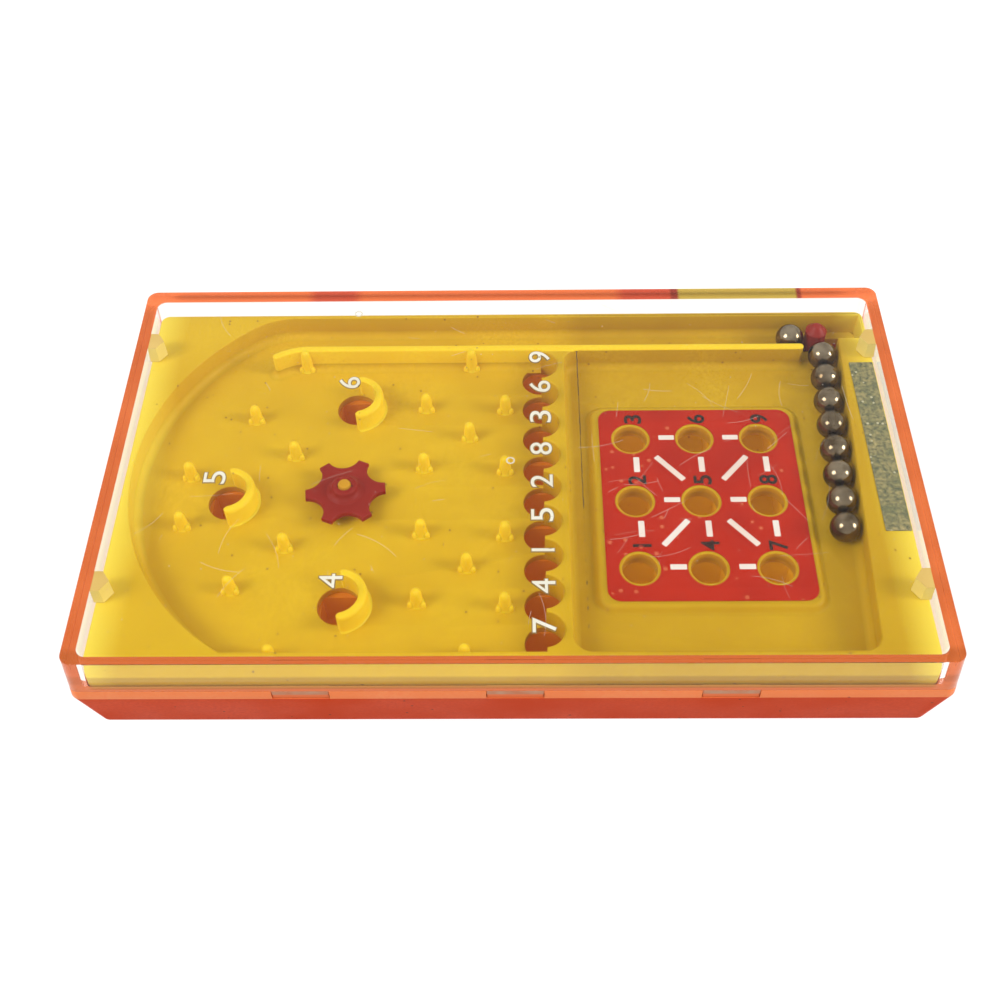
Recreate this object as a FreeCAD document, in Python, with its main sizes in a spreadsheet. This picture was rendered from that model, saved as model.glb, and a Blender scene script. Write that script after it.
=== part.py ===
import FreeCAD, Part
import math
import os
import re
import sys

import Sketcher

# Pocket ball game. Millimetres, +Z up, +X along the case, +Y towards the striker's side.
# The origin is the centre of the case on the surface that it rests on.

SIZES = {
    # case: orange base with a lip, clear cover that stands on the lip
    "case_length": 120.0,
    "case_width": 71.1,
    "case_height": 17.15,
    "corner_radius": 1.6,
    "wall_thick": 1.75,
    "base_floor": 1.5,
    "base_inset": 1.48,
    "lip_start": 8.86,
    "lip_end": 10.67,
    "cover_inset": 0.65,
    "cover_plate": 1.4,
    "ledge_wide": 0.7,
    # cover: hold-down lugs and tabs that drop into notches of the lip
    "lug_wide": 3.2,
    "lug_reach": 2.2,
    "lug_near": -21.25,
    "lug_far": 24.5,
    "lug_gap": 0.1,
    "tab_wide": 7.6,
    "tab_thick": 1.3,
    "tab_gap": 0.12,
    "front_tab_spread": 29.0,
    "front_tab_middle": 0.6,
    "back_tab_left": -29.3,
    "back_tab_right": 20.5,
    # deck: levels, edge and hollow rim
    "deck_gap": 0.15,
    "deck_corner": 1.4,
    "play_level": 8.5,
    "deck_floor": 1.3,
    "rim_level": 12.6,
    "rim_skin": 1.3,
    # rims of the deck: left of the arc, near the field, beyond the lane and past its end
    "arc_rim": 0.907,
    "near_rim": 2.657,
    "lane_rim": 0.757,
    "end_rim": 0.607,
    # play field outline
    "arc_radius": 37.1,
    "arc_y": 0.7,
    "blend_radius": 11.0,
    # lane and divider: the start is left of the arc's centre, the mouth before the lane's end
    "lane_wide": 6.3,
    "divider_thick": 1.2,
    "divider_start_left": 12.8,
    "lane_mouth": 9.9,
    "bend_radius": 9.6,
    "bend_angle": 33.0,
    # tray and trough: how far the strip of pockets, the tray and the trough start before the lane's end
    "strip_before_end": 52.25,
    "tray_before_end": 48.6,
    "tray_corner": 2.5,
    "trough_far_before_end": 4.2,
    "trough_near_before_end": 7.0,
    "block_step": 1.15,
    # raised pad round the three by three holes
    "pad_left_margin": 6.5,
    "pad_right_margin": 6.1,
    "pad_near_margin": 7.15,
    "pad_far_margin": 6.45,
    "pad_corner": 2.4,
    "pad_high": 0.95,
    # row of nine pockets, sunk into the strip's face
    "pocket_sink": 0.33,
    "pocket_far": 21.95,
    "pocket_pitch": 6.15,
    "pocket_radius": 2.62,
    # three by three number holes
    "grid_before_end": 28.7,
    "grid_y": -3.25,
    "grid_pitch_x": 9.9,
    "grid_pitch_y": 12.1,
    "grid_radius": 2.58,
    # cups, from the arc's centre
    "cup_inner": 3.1,
    "cup_wall": 1.3,
    "cup_high": 3.4,
    "cup_foot": 0.5,
    "cup_sweep": 172.0,
    "cup_from_arc": -4.7,
    "cup_left_from_arc": -22.8,
    "cup_mid_y": -2.4,
    "cup_spread": 18.5,
    # pins, from the arc's centre or before the pockets
    "pin_radius": 0.72,
    "pin_draft": 0.11,
    "pin_tip": 0.25,
    "pin_foot": 1.25,
    "pin_foot_high": 0.6,
    "pin_high": 3.4,
    "pin_mid_y": -2.1,
    "pin_before_pocket": 5.47,
    "pair_a_from_arc": -20.5,
    "pair_a_offset": 16.05,
    "pair_b_from_arc": -13.5,
    "pair_b_offset": 8.65,
    "pair_c_from_arc": -29.2,
    "pair_c_offset": 4.7,
    "pair_d_from_arc": 6.4,
    "pair_d_offset": 18.3,
    "pair_e_from_arc": 13.4,
    "pair_e_offset": 12.3,
    "pair_f_from_arc": 6.5,
    "pair_f_offset": 6.2,
    "wall_pin_from_arc": -13.5,
    "wall_pin_spread": 26.95,
    # star wheel and its pin, from the arc's centre
    "star_from_arc": -5.0,
    "star_y": -1.95,
    "star_turn": 7.4,
    "star_radius": 6.05,
    "star_notch": 4.3,
    "star_scallop": 2.61,
    "star_thick": 1.0,
    "star_bottom": 9.95,
    "hub_radius": 2.0,
    "hub_flare": 0.75,
    "hub_top": 12.2,
    "axle_radius": 0.97,
    "axle_gap": 0.08,
    "axle_boss": 1.9,
    "seat_gap": 0.05,
    # balls
    "ball_radius": 2.25,
    "ball_lift": 0.05,
    "train_pitch": 4.9,
    "train_clear": 0.3,
    "shot_gap": 0.3,
    "shot_nearer": 0.25,
    # channels under the deck
    "rib_thick": 1.0,
    "channel_wide": 5.3,
    "arm_turn_from_arc": 3.2,
    # striker: post in the lane, bar under the deck, thumb tab outside the far wall
    "post_before_end": 7.2,
    "guide_farther": 0.3,
    "post_radius": 1.7,
    "post_top": 13.0,
    "post_round": 1.1,
    "post_lift": 0.1,
    "striker_travel": 5.3,
    "neck_long": 2.8,
    "neck_wide": 2.1,
    "slot_gap": 0.2,
    "bar_thick": 1.4,
    "bar_wide": 4.8,
    "bar_gap": 0.25,
    "rail_gap": 0.06,
    "thumb_before_post": 21.6,
    "thumb_wide": 13.0,
    "thumb_thick": 3.0,
    "thumb_low": 3.4,
    "thumb_high": 6.2,
    "thumb_gap": 0.25,
    "grip_rib": 0.5,
    "slot_left_gap": 1.4,
    "slot_right_gap": 1.7,
    "slot_low": 5.2,
    "guide_wide": 3.5,
    "guide_gap": 0.1,
    "block_before_post": 6.8,
    "block_long": 3.0,
    "stop_gap": 0.15,
    "stop_thick": 1.0,
    # spring
    "spring_room": 9.7,
    "wire_radius": 0.2,
    "coil_radius": 1.35,
    "coil_turns": 5.0,
    "coil_gap": 0.05,
    # labels
    "label_margin_x": 1.4,
    "label_margin_y": 1.3,
    "label_thick": 0.15,
    "label_corner": 2.0,
    "label_hole": 3.08,
    "strip_margin": 0.207,
    "strip_wide": 3.75,
    "strip_near": -11.15,
    "strip_far": 21.8,
}

# How many sides the small repeated pieces have, which stand for round ones, and other counts.
PIN_SIDES = 8
BALL_SIDES = 14
BALL_RINGS = 8
HOLE_SIDES = 16
STAR_LOBES = 6
GRIP_RIBS = 5

document = FreeCAD.newDocument("PocketBallGame")
sheet = document.addObject("Spreadsheet::Sheet", "Dims")
for row, (alias, value) in enumerate(SIZES.items(), start=1):
    sheet.set(f"A{row}", alias)
    sheet.set(f"B{row}", str(value))
    sheet.setAlias(f"B{row}", alias)
document.recompute()

# Sizes that follow from the sheet's own, written as formulas of its names.

DERIVED = {
    "half_length": "(case_length / 2)",
    "half_width": "(case_width / 2)",
    "deck_under": "(play_level - deck_floor)",
    "plate_under": "(case_height - cover_plate)",
    "cover_slope": "(cover_inset / (case_height - lip_start))",
    "lip_inset": "(cover_slope * (lip_end - lip_start))",
    "deck_inset": "(cover_slope * (rim_level - lip_start) + wall_thick + deck_gap)",
    "deck_half_x": "(half_length - deck_inset)",
    "deck_half_y": "(half_width - deck_inset)",
    "arc_x": "(arc_radius + arc_rim - deck_half_x)",
    "field_near": "(near_rim - deck_half_y)",
    "lane_far": "(deck_half_y - lane_rim)",
    "lane_end": "(deck_half_x - end_rim)",
    "divider_far": "(lane_far - lane_wide)",
    "divider_mid": "(divider_far - divider_thick / 2)",
    "divider_near": "(divider_far - divider_thick)",
    "divider_start": "(arc_x - divider_start_left)",
    "divider_end": "(lane_end - lane_mouth)",
    "strip_left": "(lane_end - strip_before_end)",
    "tray_left": "(lane_end - tray_before_end)",
    "trough_far": "(lane_end - trough_far_before_end)",
    "trough_near": "(lane_end - trough_near_before_end)",
    "block_face": "(divider_far + block_step)",
    "pocket_x": "(strip_left - pocket_sink)",
    "grid_x": "(lane_end - grid_before_end)",
    "pad_left": "(grid_x - grid_pitch_x - pad_left_margin)",
    "pad_right": "(grid_x + grid_pitch_x + pad_right_margin)",
    "pad_near": "(grid_y - grid_pitch_y - pad_near_margin)",
    "pad_far": "(grid_y + grid_pitch_y + pad_far_margin)",
    "cup_x": "(arc_x + cup_from_arc)",
    "cup_left_x": "(arc_x + cup_left_from_arc)",
    "arm_turn_x": "(arc_x + arm_turn_from_arc)",
    "star_x": "(arc_x + star_from_arc)",
    "guide_y": "((divider_far + lane_far) / 2 + guide_farther)",
    "post_x": "(lane_end - post_before_end)",
    "block_x": "(post_x - block_before_post)",
    "seat_x": "(block_x + block_long + spring_room)",
    "shot_x": "(post_x - post_radius - shot_gap - ball_radius)",
    "trough_slope": "((trough_far - trough_near) / (divider_near - field_near))",
    "ball_level": "(play_level + ball_radius + ball_lift)",
    "label_level": "(play_level + pad_high)",
    "bar_top": "(deck_under - bar_gap)",
    "bar_under": "(deck_under - bar_gap - bar_thick)",
    "rail_top": "(bar_under - rail_gap)",
    "neck_left": "(post_x - neck_long / 2)",
    "neck_right": "(post_x + neck_long / 2)",
    "thumb_left": "(post_x - thumb_before_post)",
    "thumb_right": "(thumb_left + thumb_wide)",
    "slot_left": "(thumb_left - slot_left_gap)",
    "slot_right": "(thumb_right + striker_travel + slot_right_gap)",
    "strip_x": "(deck_half_x - strip_margin - strip_wide)",
    "thumb_face": "(half_width + thumb_gap)",
}


def formula(text):
    """Puts the sheet's name before each of its aliases, and writes the derived sizes out."""
    text = str(text)
    while any(name in DERIVED for name in re.findall(r"[a-z_]+", text)):
        text = re.sub(r"[a-z_]+", lambda word: DERIVED.get(word.group(), word.group()), text)
    return re.sub(
        r"[a-z_]+", lambda word: "Dims." + word.group() if word.group() in SIZES else word.group(), text
    )


def size(text):
    """The present value of a formula."""
    return float(sheet.evalExpression(formula(text)))


# Sketches: each corner is bound to the sheet by its two formulas, each arc by its radius.


def line_or_arc(start, end, radius):
    """A straight edge, or an arc that turns left for a positive radius and right for a negative one."""
    first = FreeCAD.Vector(*start, 0)
    last = FreeCAD.Vector(*end, 0)
    if radius is None:
        return Part.LineSegment(first, last), 1
    chord = last - first
    rise = math.sqrt(max(radius**2 - chord.Length**2 / 4, 0))
    left = FreeCAD.Vector(-chord.y, chord.x, 0).normalize()
    centre = (first + last) / 2 + left * math.copysign(rise, radius)
    ends = [last, first] if radius < 0 else [first, last]
    angles = [math.atan2(point.y - centre.y, point.x - centre.x) for point in ends]
    if angles[1] < angles[0]:
        angles[1] += 2 * math.pi
    circle = Part.Circle(centre, FreeCAD.Vector(0, 0, 1), abs(radius))
    return Part.ArcOfCircle(circle, *angles), 2 if radius < 0 else 1


def hold(sketch, kind, edge, point, text):
    """A named distance from the sketch's origin, bound to its formula."""
    index = sketch.addConstraint(Sketcher.Constraint(kind, -1, 1, edge, point, size(text)))
    sketch.setExpression(f"Constraints[{index}]", formula(text))


def hold_radius(sketch, edge, text):
    index = sketch.addConstraint(Sketcher.Constraint("Radius", edge, abs(size(text))))
    sketch.setExpression(f"Constraints[{index}]", formula(text))


def draw_loop(sketch, corners):
    """A closed outline. A corner is (x, y) or (x, y, radius of the arc to the next corner, turn)."""
    places = [(size(corner[0]), size(corner[1])) for corner in corners]
    edges = []
    for index, corner in enumerate(corners):
        radius = size(corner[2]) * corner[3] if len(corner) == 4 else None
        shape, start = line_or_arc(places[index], places[(index + 1) % len(places)], radius)
        edges.append((sketch.addGeometry(shape), start))
    for index, corner in enumerate(corners):
        edge, start = edges[index]
        before, before_start = edges[index - 1]
        sketch.addConstraint(Sketcher.Constraint("Coincident", before, 3 - before_start, edge, start))
        hold(sketch, "DistanceX", edge, start, corner[0])
        hold(sketch, "DistanceY", edge, start, corner[1])
        if len(corner) == 4:
            hold_radius(sketch, edge, corner[2])


def draw_circle(sketch, x, y, radius):
    centre = FreeCAD.Vector(size(x), size(y), 0)
    edge = sketch.addGeometry(Part.Circle(centre, FreeCAD.Vector(0, 0, 1), size(radius)))
    hold(sketch, "DistanceX", edge, 3, x)
    hold(sketch, "DistanceY", edge, 3, y)
    hold_radius(sketch, edge, radius)


def draw(body, name, level="0", loops=(), circles=(), plane="XY_Plane"):
    """A sketch on one of the body's own planes, lifted to a level."""
    sketch = body.newObject("Sketcher::SketchObject", name)
    support = next(feature for feature in body.Origin.OriginFeatures if feature.Role == plane)
    sketch.AttachmentSupport = (support, [""])
    sketch.MapMode = "FlatFace"
    sketch.setExpression("AttachmentOffset.Base.z", formula(level))
    for corners in loops:
        draw_loop(sketch, corners)
    for circle in circles:
        draw_circle(sketch, *circle)
    return sketch


def rectangle(left, right, near, far):
    return [(left, near), (right, near), (right, far), (left, far)]


def rounded(left, right, near, far, radius):
    """A rectangle with round corners."""
    return [
        (f"{left} + {radius}", near),
        (f"{right} - {radius}", near, radius, 1),
        (right, f"{near} + {radius}"),
        (right, f"{far} - {radius}", radius, 1),
        (f"{right} - {radius}", far),
        (f"{left} + {radius}", far, radius, 1),
        (left, f"{far} - {radius}"),
        (left, f"{near} + {radius}", radius, 1),
    ]


def case_outline(inset, radius="corner_radius"):
    """The case's plan, drawn in by an inset."""
    return rounded(
        f"-(half_length - ({inset}))",
        f"(half_length - ({inset}))",
        f"-(half_width - ({inset}))",
        f"(half_width - ({inset}))",
        radius,
    )


# Features. Each one that adds or cuts is checked against the volume before it.


def new_body(label):
    body = document.addObject("PartDesign::Body", label)
    body.Label = label
    return body


def settle(body, feature, grows):
    """Recomputes, and stops where a feature failed or changed nothing."""
    document.recompute()
    if feature.Shape.isNull() or not feature.Shape.isValid() or "Invalid" in feature.State:
        sys.exit(f"{feature.Name} failed: {feature.State}")
    volume = feature.Shape.Volume
    last = volumes.get(body.Name, 0.0)
    if (volume > last) != grows or abs(volume - last) < 1e-6:
        sys.exit(f"{feature.Name} changed the volume from {last:.3f} to {volume:.3f}")
    volumes[body.Name] = volume
    return feature


volumes = {}


def pad(body, name, sketch, length, down=False):
    feature = body.newObject("PartDesign::Pad", name)
    feature.Profile = sketch
    feature.setExpression("Length", formula(length))
    feature.Reversed = down
    return settle(body, feature, True)


def pocket(body, name, sketch, depth, up=False):
    feature = body.newObject("PartDesign::Pocket", name)
    feature.Profile = sketch
    feature.setExpression("Length", formula(depth))
    feature.Reversed = up
    return settle(body, feature, False)


def loft(body, name, sketches, cut=False):
    """A loft with flat sides through two or more outlines."""
    kind = "PartDesign::SubtractiveLoft" if cut else "PartDesign::AdditiveLoft"
    feature = body.newObject(kind, name)
    feature.Profile = sketches[0]
    feature.Sections = sketches[1:]
    feature.Ruled = True
    return settle(body, feature, not cut)


def revolve(body, name, sketch, sweep="360"):
    """A profile in the XZ plane turned about Z, half the sweep to each side."""
    feature = body.newObject("PartDesign::Revolution", name)
    feature.Profile = sketch
    feature.ReferenceAxis = (sketch, ["V_Axis"])
    feature.setExpression("Angle", formula(sweep))
    feature.Midplane = True
    return settle(body, feature, True)


def place(piece, x, y, z):
    """Binds where a sub-part or a copy stands."""
    for axis, text in zip("xyz", (x, y, z)):
        piece.setExpression(f"Placement.Base.{axis}", formula(text))


# Places that several pieces share.

POCKETS = [("pocket_x", f"(pocket_far - {index} * pocket_pitch)") for index in range(9)]
COLUMNS = ["(grid_x - grid_pitch_x)", "grid_x", "(grid_x + grid_pitch_x)"]
ROWS = ["(grid_y + grid_pitch_y)", "grid_y", "(grid_y - grid_pitch_y)"]
CUPS = [
    ("cup_x", "(cup_mid_y + cup_spread)"),
    ("cup_left_x", "cup_mid_y"),
    ("cup_x", "(cup_mid_y - cup_spread)"),
]
FRONT_TABS = [f"(front_tab_middle + {side} * front_tab_spread)" for side in (-1, 0, 1)]
BACK_TABS = ["back_tab_left", "back_tab_right"]


def base_inset_at(level):
    """How far the tapered base stands in at a level below the lip."""
    return f"(base_inset * (1 - ({level}) / lip_start))"


def cover_inset_at(level):
    """How far the drafted lip and cover stand in at a level above the lip's lower edge."""
    return f"(cover_slope * (({level}) - lip_start))"


# Base: a tapered tray with a lip, a ledge for the deck, channels and the striker's guide.


def channel(row, left, column, leg):
    """A channel's outline: straight along a pocket's line, then up or down a leg to its number hole."""
    y = POCKETS[row][1]
    seat = "(ball_radius + rib_thick / 2 + seat_gap)"
    middle = [f"(({POCKETS[i][1]} + {POCKETS[i + 1][1]}) / 2)" for i in range(8)]
    middle = ["(pocket_far + pocket_pitch / 2)"] + middle + [f"({POCKETS[8][1]} - pocket_pitch / 2)"]
    for hole_row, below in ((0, 3), (1, 5), (2, 7)):
        middle[below] = f"min({middle[below]}; {ROWS[hole_row]} - {seat})"
    far = f"({middle[row]} - rib_thick / 2)"
    near = f"({middle[row + 1]} + rib_thick / 2)"
    hole_x = COLUMNS[column]
    leg_left = f"({hole_x} - channel_wide / 2)"
    leg_right = f"({hole_x} + channel_wide / 2)"
    if leg is None:
        return rectangle(left, leg_right, near, far)
    hole_row, up = leg
    if up:
        roof = f"({middle[2 * hole_row + 2]} - rib_thick / 2)"
        return [(left, near), (leg_right, near), (leg_right, roof),
                (leg_left, roof), (leg_left, far), (left, far)]
    foot = f"({middle[3 + 2 * hole_row]} + rib_thick / 2)"
    return [(left, near), (leg_left, near), (leg_left, foot),
            (leg_right, foot), (leg_right, far), (left, far)]


def make_base():
    body = new_body("base_case")
    outlines = [
        draw(body, "BaseFoot", "0", [case_outline("base_inset")]),
        draw(body, "BaseShoulder", "lip_start", [case_outline("0")]),
        draw(body, "BaseLip", "lip_end", [case_outline("lip_inset")]),
    ]
    loft(body, "BaseShell", outlines)
    low_inset = "wall_thick + ledge_wide + "
    cavity = [
        draw(body, "CavityFloor", "base_floor", [case_outline(low_inset + base_inset_at("base_floor"))]),
        draw(body, "CavityLedge", "deck_under", [case_outline(low_inset + base_inset_at("deck_under"))]),
    ]
    loft(body, "LowerCavity", cavity, cut=True)
    seat = [
        draw(body, "SeatLevel", "deck_under", [case_outline("wall_thick + " + base_inset_at("deck_under"))]),
        draw(body, "SeatShoulder", "lip_start", [case_outline("wall_thick")]),
        draw(body, "SeatLip", "lip_end", [case_outline("wall_thick + lip_inset")]),
    ]
    loft(body, "DeckSeat", seat, cut=True)
    add_channels(body)
    add_striker_guide(body)
    cut_notches(body)
    return body


def add_channels(body):
    """Ribs on the floor, up to the deck, that lead each pocket and cup to its number hole."""
    start = "(pocket_x - channel_wide / 2)"
    cup_start = "(cup_x - channel_wide / 2)"
    cup_left_start = "(cup_left_x - channel_wide / 2)"
    edge = "(channel_wide / 2 + rib_thick)"
    right = f"({COLUMNS[2]} + {edge})"
    far = "(pocket_far + pocket_pitch / 2 + rib_thick / 2)"
    near = f"({POCKETS[8][1]} - pocket_pitch / 2 - rib_thick / 2)"
    left = f"({start} - rib_thick)"
    arms = []
    for row, cup_y in ((1, CUPS[0][1]), (7, CUPS[2][1])):
        half = "(pocket_pitch / 2 + rib_thick / 2)"
        arms.append(rectangle(f"({cup_start} - rib_thick)", left, f"({POCKETS[row][1]} - {half})",
                              f"({POCKETS[row][1]} + {half})"))
    half = "(pocket_pitch / 2 + rib_thick / 2)"
    turn = "arm_turn_x"
    arms.append([
        (f"({cup_left_start} - rib_thick)", f"(cup_mid_y - {half})"),
        (turn, f"(cup_mid_y - {half})"),
        (left, f"({POCKETS[5][1]} - {half})"),
        (left, f"({POCKETS[5][1]} + {half})"),
        (turn, f"(cup_mid_y + {half})"),
        (f"({cup_left_start} - rib_thick)", f"(cup_mid_y + {half})"),
    ])
    block = draw(body, "ChannelBlock", "base_floor", [rectangle(left, right, near, far)])
    pad(body, "ChannelRibs", block, "deck_under - base_floor")
    arm_sketch = draw(body, "CupArms", "base_floor", arms)
    pad(body, "CupRibs", arm_sketch, "deck_under - base_floor")
    channels = [
        channel(0, start, 2, (0, False)),
        channel(1, cup_start, 1, (0, False)),
        channel(2, start, 0, None),
        channel(3, start, 2, (1, False)),
        channel(4, start, 0, None),
        channel(6, start, 0, None),
        channel(7, cup_start, 1, (2, True)),
        channel(8, start, 2, (2, True)),
    ]
    slanted = channel(5, start, 1, (1, True))
    inner = "(pocket_pitch / 2 - rib_thick / 2)"
    slanted = [
        (cup_left_start, f"(cup_mid_y - {inner})"),
        (turn, f"(cup_mid_y - {inner})"),
        slanted[0],
        *slanted[1:],
        (turn, f"(cup_mid_y + {inner})"),
        (cup_left_start, f"(cup_mid_y + {inner})"),
    ]
    cut = draw(body, "ChannelPaths", "deck_under", channels + [slanted])
    pocket(body, "Channels", cut, "deck_under - base_floor")


def add_striker_guide(body):
    """Two rails under the striker's bar, the stop that it rests on and the spring's seat."""
    inner = "(guide_wide / 2)"
    rail_end = "seat_x"
    high = "rail_top - base_floor"
    near_rail = rectangle("thumb_left", rail_end, f"(guide_y - {inner} - rib_thick)", f"(guide_y - {inner})")
    sink = "(wall_thick + ledge_wide + base_inset * (1 - rail_top / lip_start) - rib_thick / 4)"
    wall = f"(half_width - {sink})"
    far_rail = rectangle("thumb_left", rail_end, f"(guide_y + {inner})", wall)
    rails = draw(body, "GuideRails", "base_floor", [near_rail, far_rail])
    pad(body, "Rails", rails, high)
    stop = rectangle("(block_x - stop_gap - stop_thick)", "(block_x - stop_gap)",
                     f"(guide_y - {inner} - rib_thick / 2)", f"(guide_y + {inner} + rib_thick / 4)")
    pad(body, "Stop", draw(body, "StopPlan", "base_floor", [stop]), high)
    corner = f"(half_length - {sink})"
    seat = rectangle("seat_x", corner, f"(guide_y - {inner} - rib_thick)", wall)
    pad(body, "SpringSeat", draw(body, "SpringSeatPlan", "base_floor", [seat]), high)


def cut_notches(body):
    """Notches of the lip for the cover's tabs, and the slot of the thumb tab."""
    depth = "lip_end - lip_start"
    outside = "(half_width + wall_thick)"
    inside = "(half_width - wall_thick - wall_thick / 2)"
    reach = "(tab_wide / 2 + tab_gap)"
    notches = []
    for x in FRONT_TABS:
        notches.append(rectangle(f"({x} - {reach})", f"({x} + {reach})", f"-{outside}", f"-{inside}"))
    for x in BACK_TABS:
        notches.append(rectangle(f"({x} - {reach})", f"({x} + {reach})", inside, outside))
    pocket(body, "Notches", draw(body, "NotchPlan", "lip_end", notches), depth)
    behind = "(half_width - base_inset - wall_thick - ledge_wide)"
    slot = rectangle("slot_left", "slot_right", behind, outside)
    pocket(body, "ThumbSlot", draw(body, "ThumbSlotPlan", "lip_end", [slot]), "lip_end - slot_low")


# Cover: a plate with four drafted walls, lugs that hold the deck down and tabs for the notches.


def make_cover():
    body = new_body("clear_cover")
    outer = [
        draw(body, "CoverFoot", "lip_end", [case_outline("lip_inset")]),
        draw(body, "CoverTop", "case_height", [case_outline("cover_inset")]),
    ]
    loft(body, "CoverShell", outer)
    inner = [
        draw(body, "RoomFoot", "lip_end", [case_outline("wall_thick + lip_inset", "deck_corner")]),
        draw(body, "RoomTop", "plate_under",
             [case_outline("wall_thick + " + cover_inset_at("plate_under"), "deck_corner")]),
    ]
    loft(body, "CoverRoom", inner, cut=True)
    root = "(half_length - wall_thick / 2 - cover_inset)"
    lugs = []
    for y in ("lug_near", "lug_far"):
        for side in ("-1", "1"):
            tip = f"({side} * (half_length - cover_inset - wall_thick - lug_reach))"
            shoulder = f"({side} * (half_length - cover_inset - wall_thick - lug_reach / 2))"
            foot = f"({side} * {root})"
            turn = [(foot, f"({y} - lug_wide / 2)"), (shoulder, f"({y} - lug_wide / 2)"), (tip, y),
                    (shoulder, f"({y} + lug_wide / 2)"), (foot, f"({y} + lug_wide / 2)")]
            lugs.append(turn)
    lug_plan = draw(body, "LugPlan", "rim_level + lug_gap", lugs)
    pad(body, "Lugs", lug_plan, "plate_under + cover_plate / 2 - rim_level - lug_gap")
    face = "(half_width - lip_inset)"
    back = "(half_width - lip_inset - tab_thick)"
    tabs = []
    for x in FRONT_TABS:
        tabs.append(rectangle(f"({x} - tab_wide / 2)", f"({x} + tab_wide / 2)", f"-{face}", f"-{back}"))
    for x in BACK_TABS:
        tabs.append(rectangle(f"({x} - tab_wide / 2)", f"({x} + tab_wide / 2)", back, face))
    pad(body, "Tabs", draw(body, "TabPlan", "lip_end", tabs), "lip_end - lip_start - tab_gap", down=True)
    return body


# Deck: first the block with its rooms and holes, then pins, cups and the wheel's pin, as one moulding.


def field_outline():
    """The play field, from the near wall round the arc and its blend to the lane's far wall."""
    drop = "(arc_y - field_near)"
    blend_y = "(lane_far - blend_radius)"
    blend_x = f"(arc_x - sqrt((arc_radius - blend_radius)^2 - ({blend_y} - arc_y)^2))"
    share = "(arc_radius / (arc_radius - blend_radius))"
    near_x = f"(arc_x - sqrt(arc_radius^2 - {drop}^2))"
    meet_x = f"(arc_x + ({blend_x} - arc_x) * {share})"
    meet_y = f"(arc_y + ({blend_y} - arc_y) * {share})"
    left = "(arc_x - arc_radius)"
    return [
        ("strip_left", "field_near"),
        ("strip_left", "divider_near"),
        ("divider_start", "divider_near", "bend_radius - divider_thick / 2", 1),
        ("(divider_start - (bend_radius - divider_thick / 2) * sin(bend_angle))",
         "(divider_mid - bend_radius + (bend_radius - divider_thick / 2) * cos(bend_angle))",
         "divider_thick / 2", -1),
        ("(divider_start - (bend_radius + divider_thick / 2) * sin(bend_angle))",
         "(divider_mid - bend_radius + (bend_radius + divider_thick / 2) * cos(bend_angle))",
         "bend_radius + divider_thick / 2", -1),
        ("divider_start", "divider_far"),
        ("(divider_end - divider_thick / 2)", "divider_far", "divider_thick / 2", -1),
        ("(divider_end - divider_thick / 2)", "divider_near"),
        ("(tray_left + tray_corner)", "divider_near", "tray_corner", 1),
        ("tray_left", "(divider_near - tray_corner)"),
        ("tray_left", "(field_near + tray_corner)", "tray_corner", 1),
        ("(tray_left + tray_corner)", "field_near"),
        ("(trough_near - tray_corner)", "field_near", "tray_corner", 1),
        ("(trough_near + trough_slope * tray_corner)", "(field_near + tray_corner)"),
        ("(trough_far + trough_slope * (block_face - divider_near))", "block_face"),
        ("lane_end", "block_face"),
        ("lane_end", "lane_far"),
        (blend_x, "lane_far", "blend_radius", 1),
        (meet_x, meet_y, "arc_radius", 1),
        (left, "arc_y", "arc_radius", 1),
        (near_x, "field_near"),
    ]


def corner_hollow(side):
    """The hollow under a left corner of the rim, a skin inside its faces. side is -1 near, 1 far."""
    edge_x = "-(deck_half_x - rim_skin)"
    edge_y = f"({side} * (deck_half_y - rim_skin))"
    clear = "(arc_radius + rim_skin)"
    cross_x = f"(arc_x - sqrt({clear}^2 - ({edge_y} - arc_y)^2))"
    tip_x = "(rim_skin - deck_half_x + rim_skin)"
    tip_y = f"(arc_y + {side} * sqrt({clear}^2 - ({tip_x} - arc_x)^2))"
    return [(tip_x, tip_y), (edge_x, tip_y), (edge_x, edge_y), (cross_x, edge_y, clear, side)]


def block_hollow():
    """The hollow under the right rim, beside the trough."""
    edge_x = "(deck_half_x - rim_skin)"
    far = "(block_face - rim_skin)"
    slant = f"(trough_near + trough_slope * ({far} - field_near) + rim_skin)"
    return [("(trough_near + rim_skin)", "field_near"), (edge_x, "field_near"), (edge_x, far), (slant, far)]


def pad_outline():
    """The raised pad's plan, which is also the opening in the deck's floor that holds it."""
    return rounded("pad_left", "pad_right", "pad_near", "pad_far", "pad_corner")


def make_deck():
    body = new_body("deck_plate")
    block = rounded("-deck_half_x", "deck_half_x", "-deck_half_y", "deck_half_y", "deck_corner")
    pad(body, "DeckBlock", draw(body, "DeckPlan", "deck_under", [block]), "rim_level - deck_under")
    pocket(body, "Rooms", draw(body, "RoomsPlan", "rim_level", [field_outline()]), "rim_level - play_level")
    hollows = [corner_hollow(-1), corner_hollow(1), block_hollow()]
    under = draw(body, "HollowsPlan", "deck_under", hollows)
    pocket(body, "Hollows", under, "rim_level - rim_skin - deck_under", up=True)
    pocket(body, "PadOpening", draw(body, "PadOpeningPlan", "play_level", [pad_outline()]), "deck_floor")
    holes = [(x, y, "pocket_radius") for x, y in POCKETS]
    holes += [(x, y, "cup_inner") for x, y in CUPS]
    pocket(body, "Holes", draw(body, "HolesPlan", "rim_level", [], holes), "rim_level - deck_under")
    slot = rectangle("(neck_left - slot_gap)", "(neck_right + striker_travel + slot_gap)",
                     "(guide_y - neck_wide / 2 - slot_gap)", "(guide_y + neck_wide / 2 + slot_gap)")
    pocket(body, "PostSlot", draw(body, "PostSlotPlan", "play_level", [slot]), "deck_floor")
    return body


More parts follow.
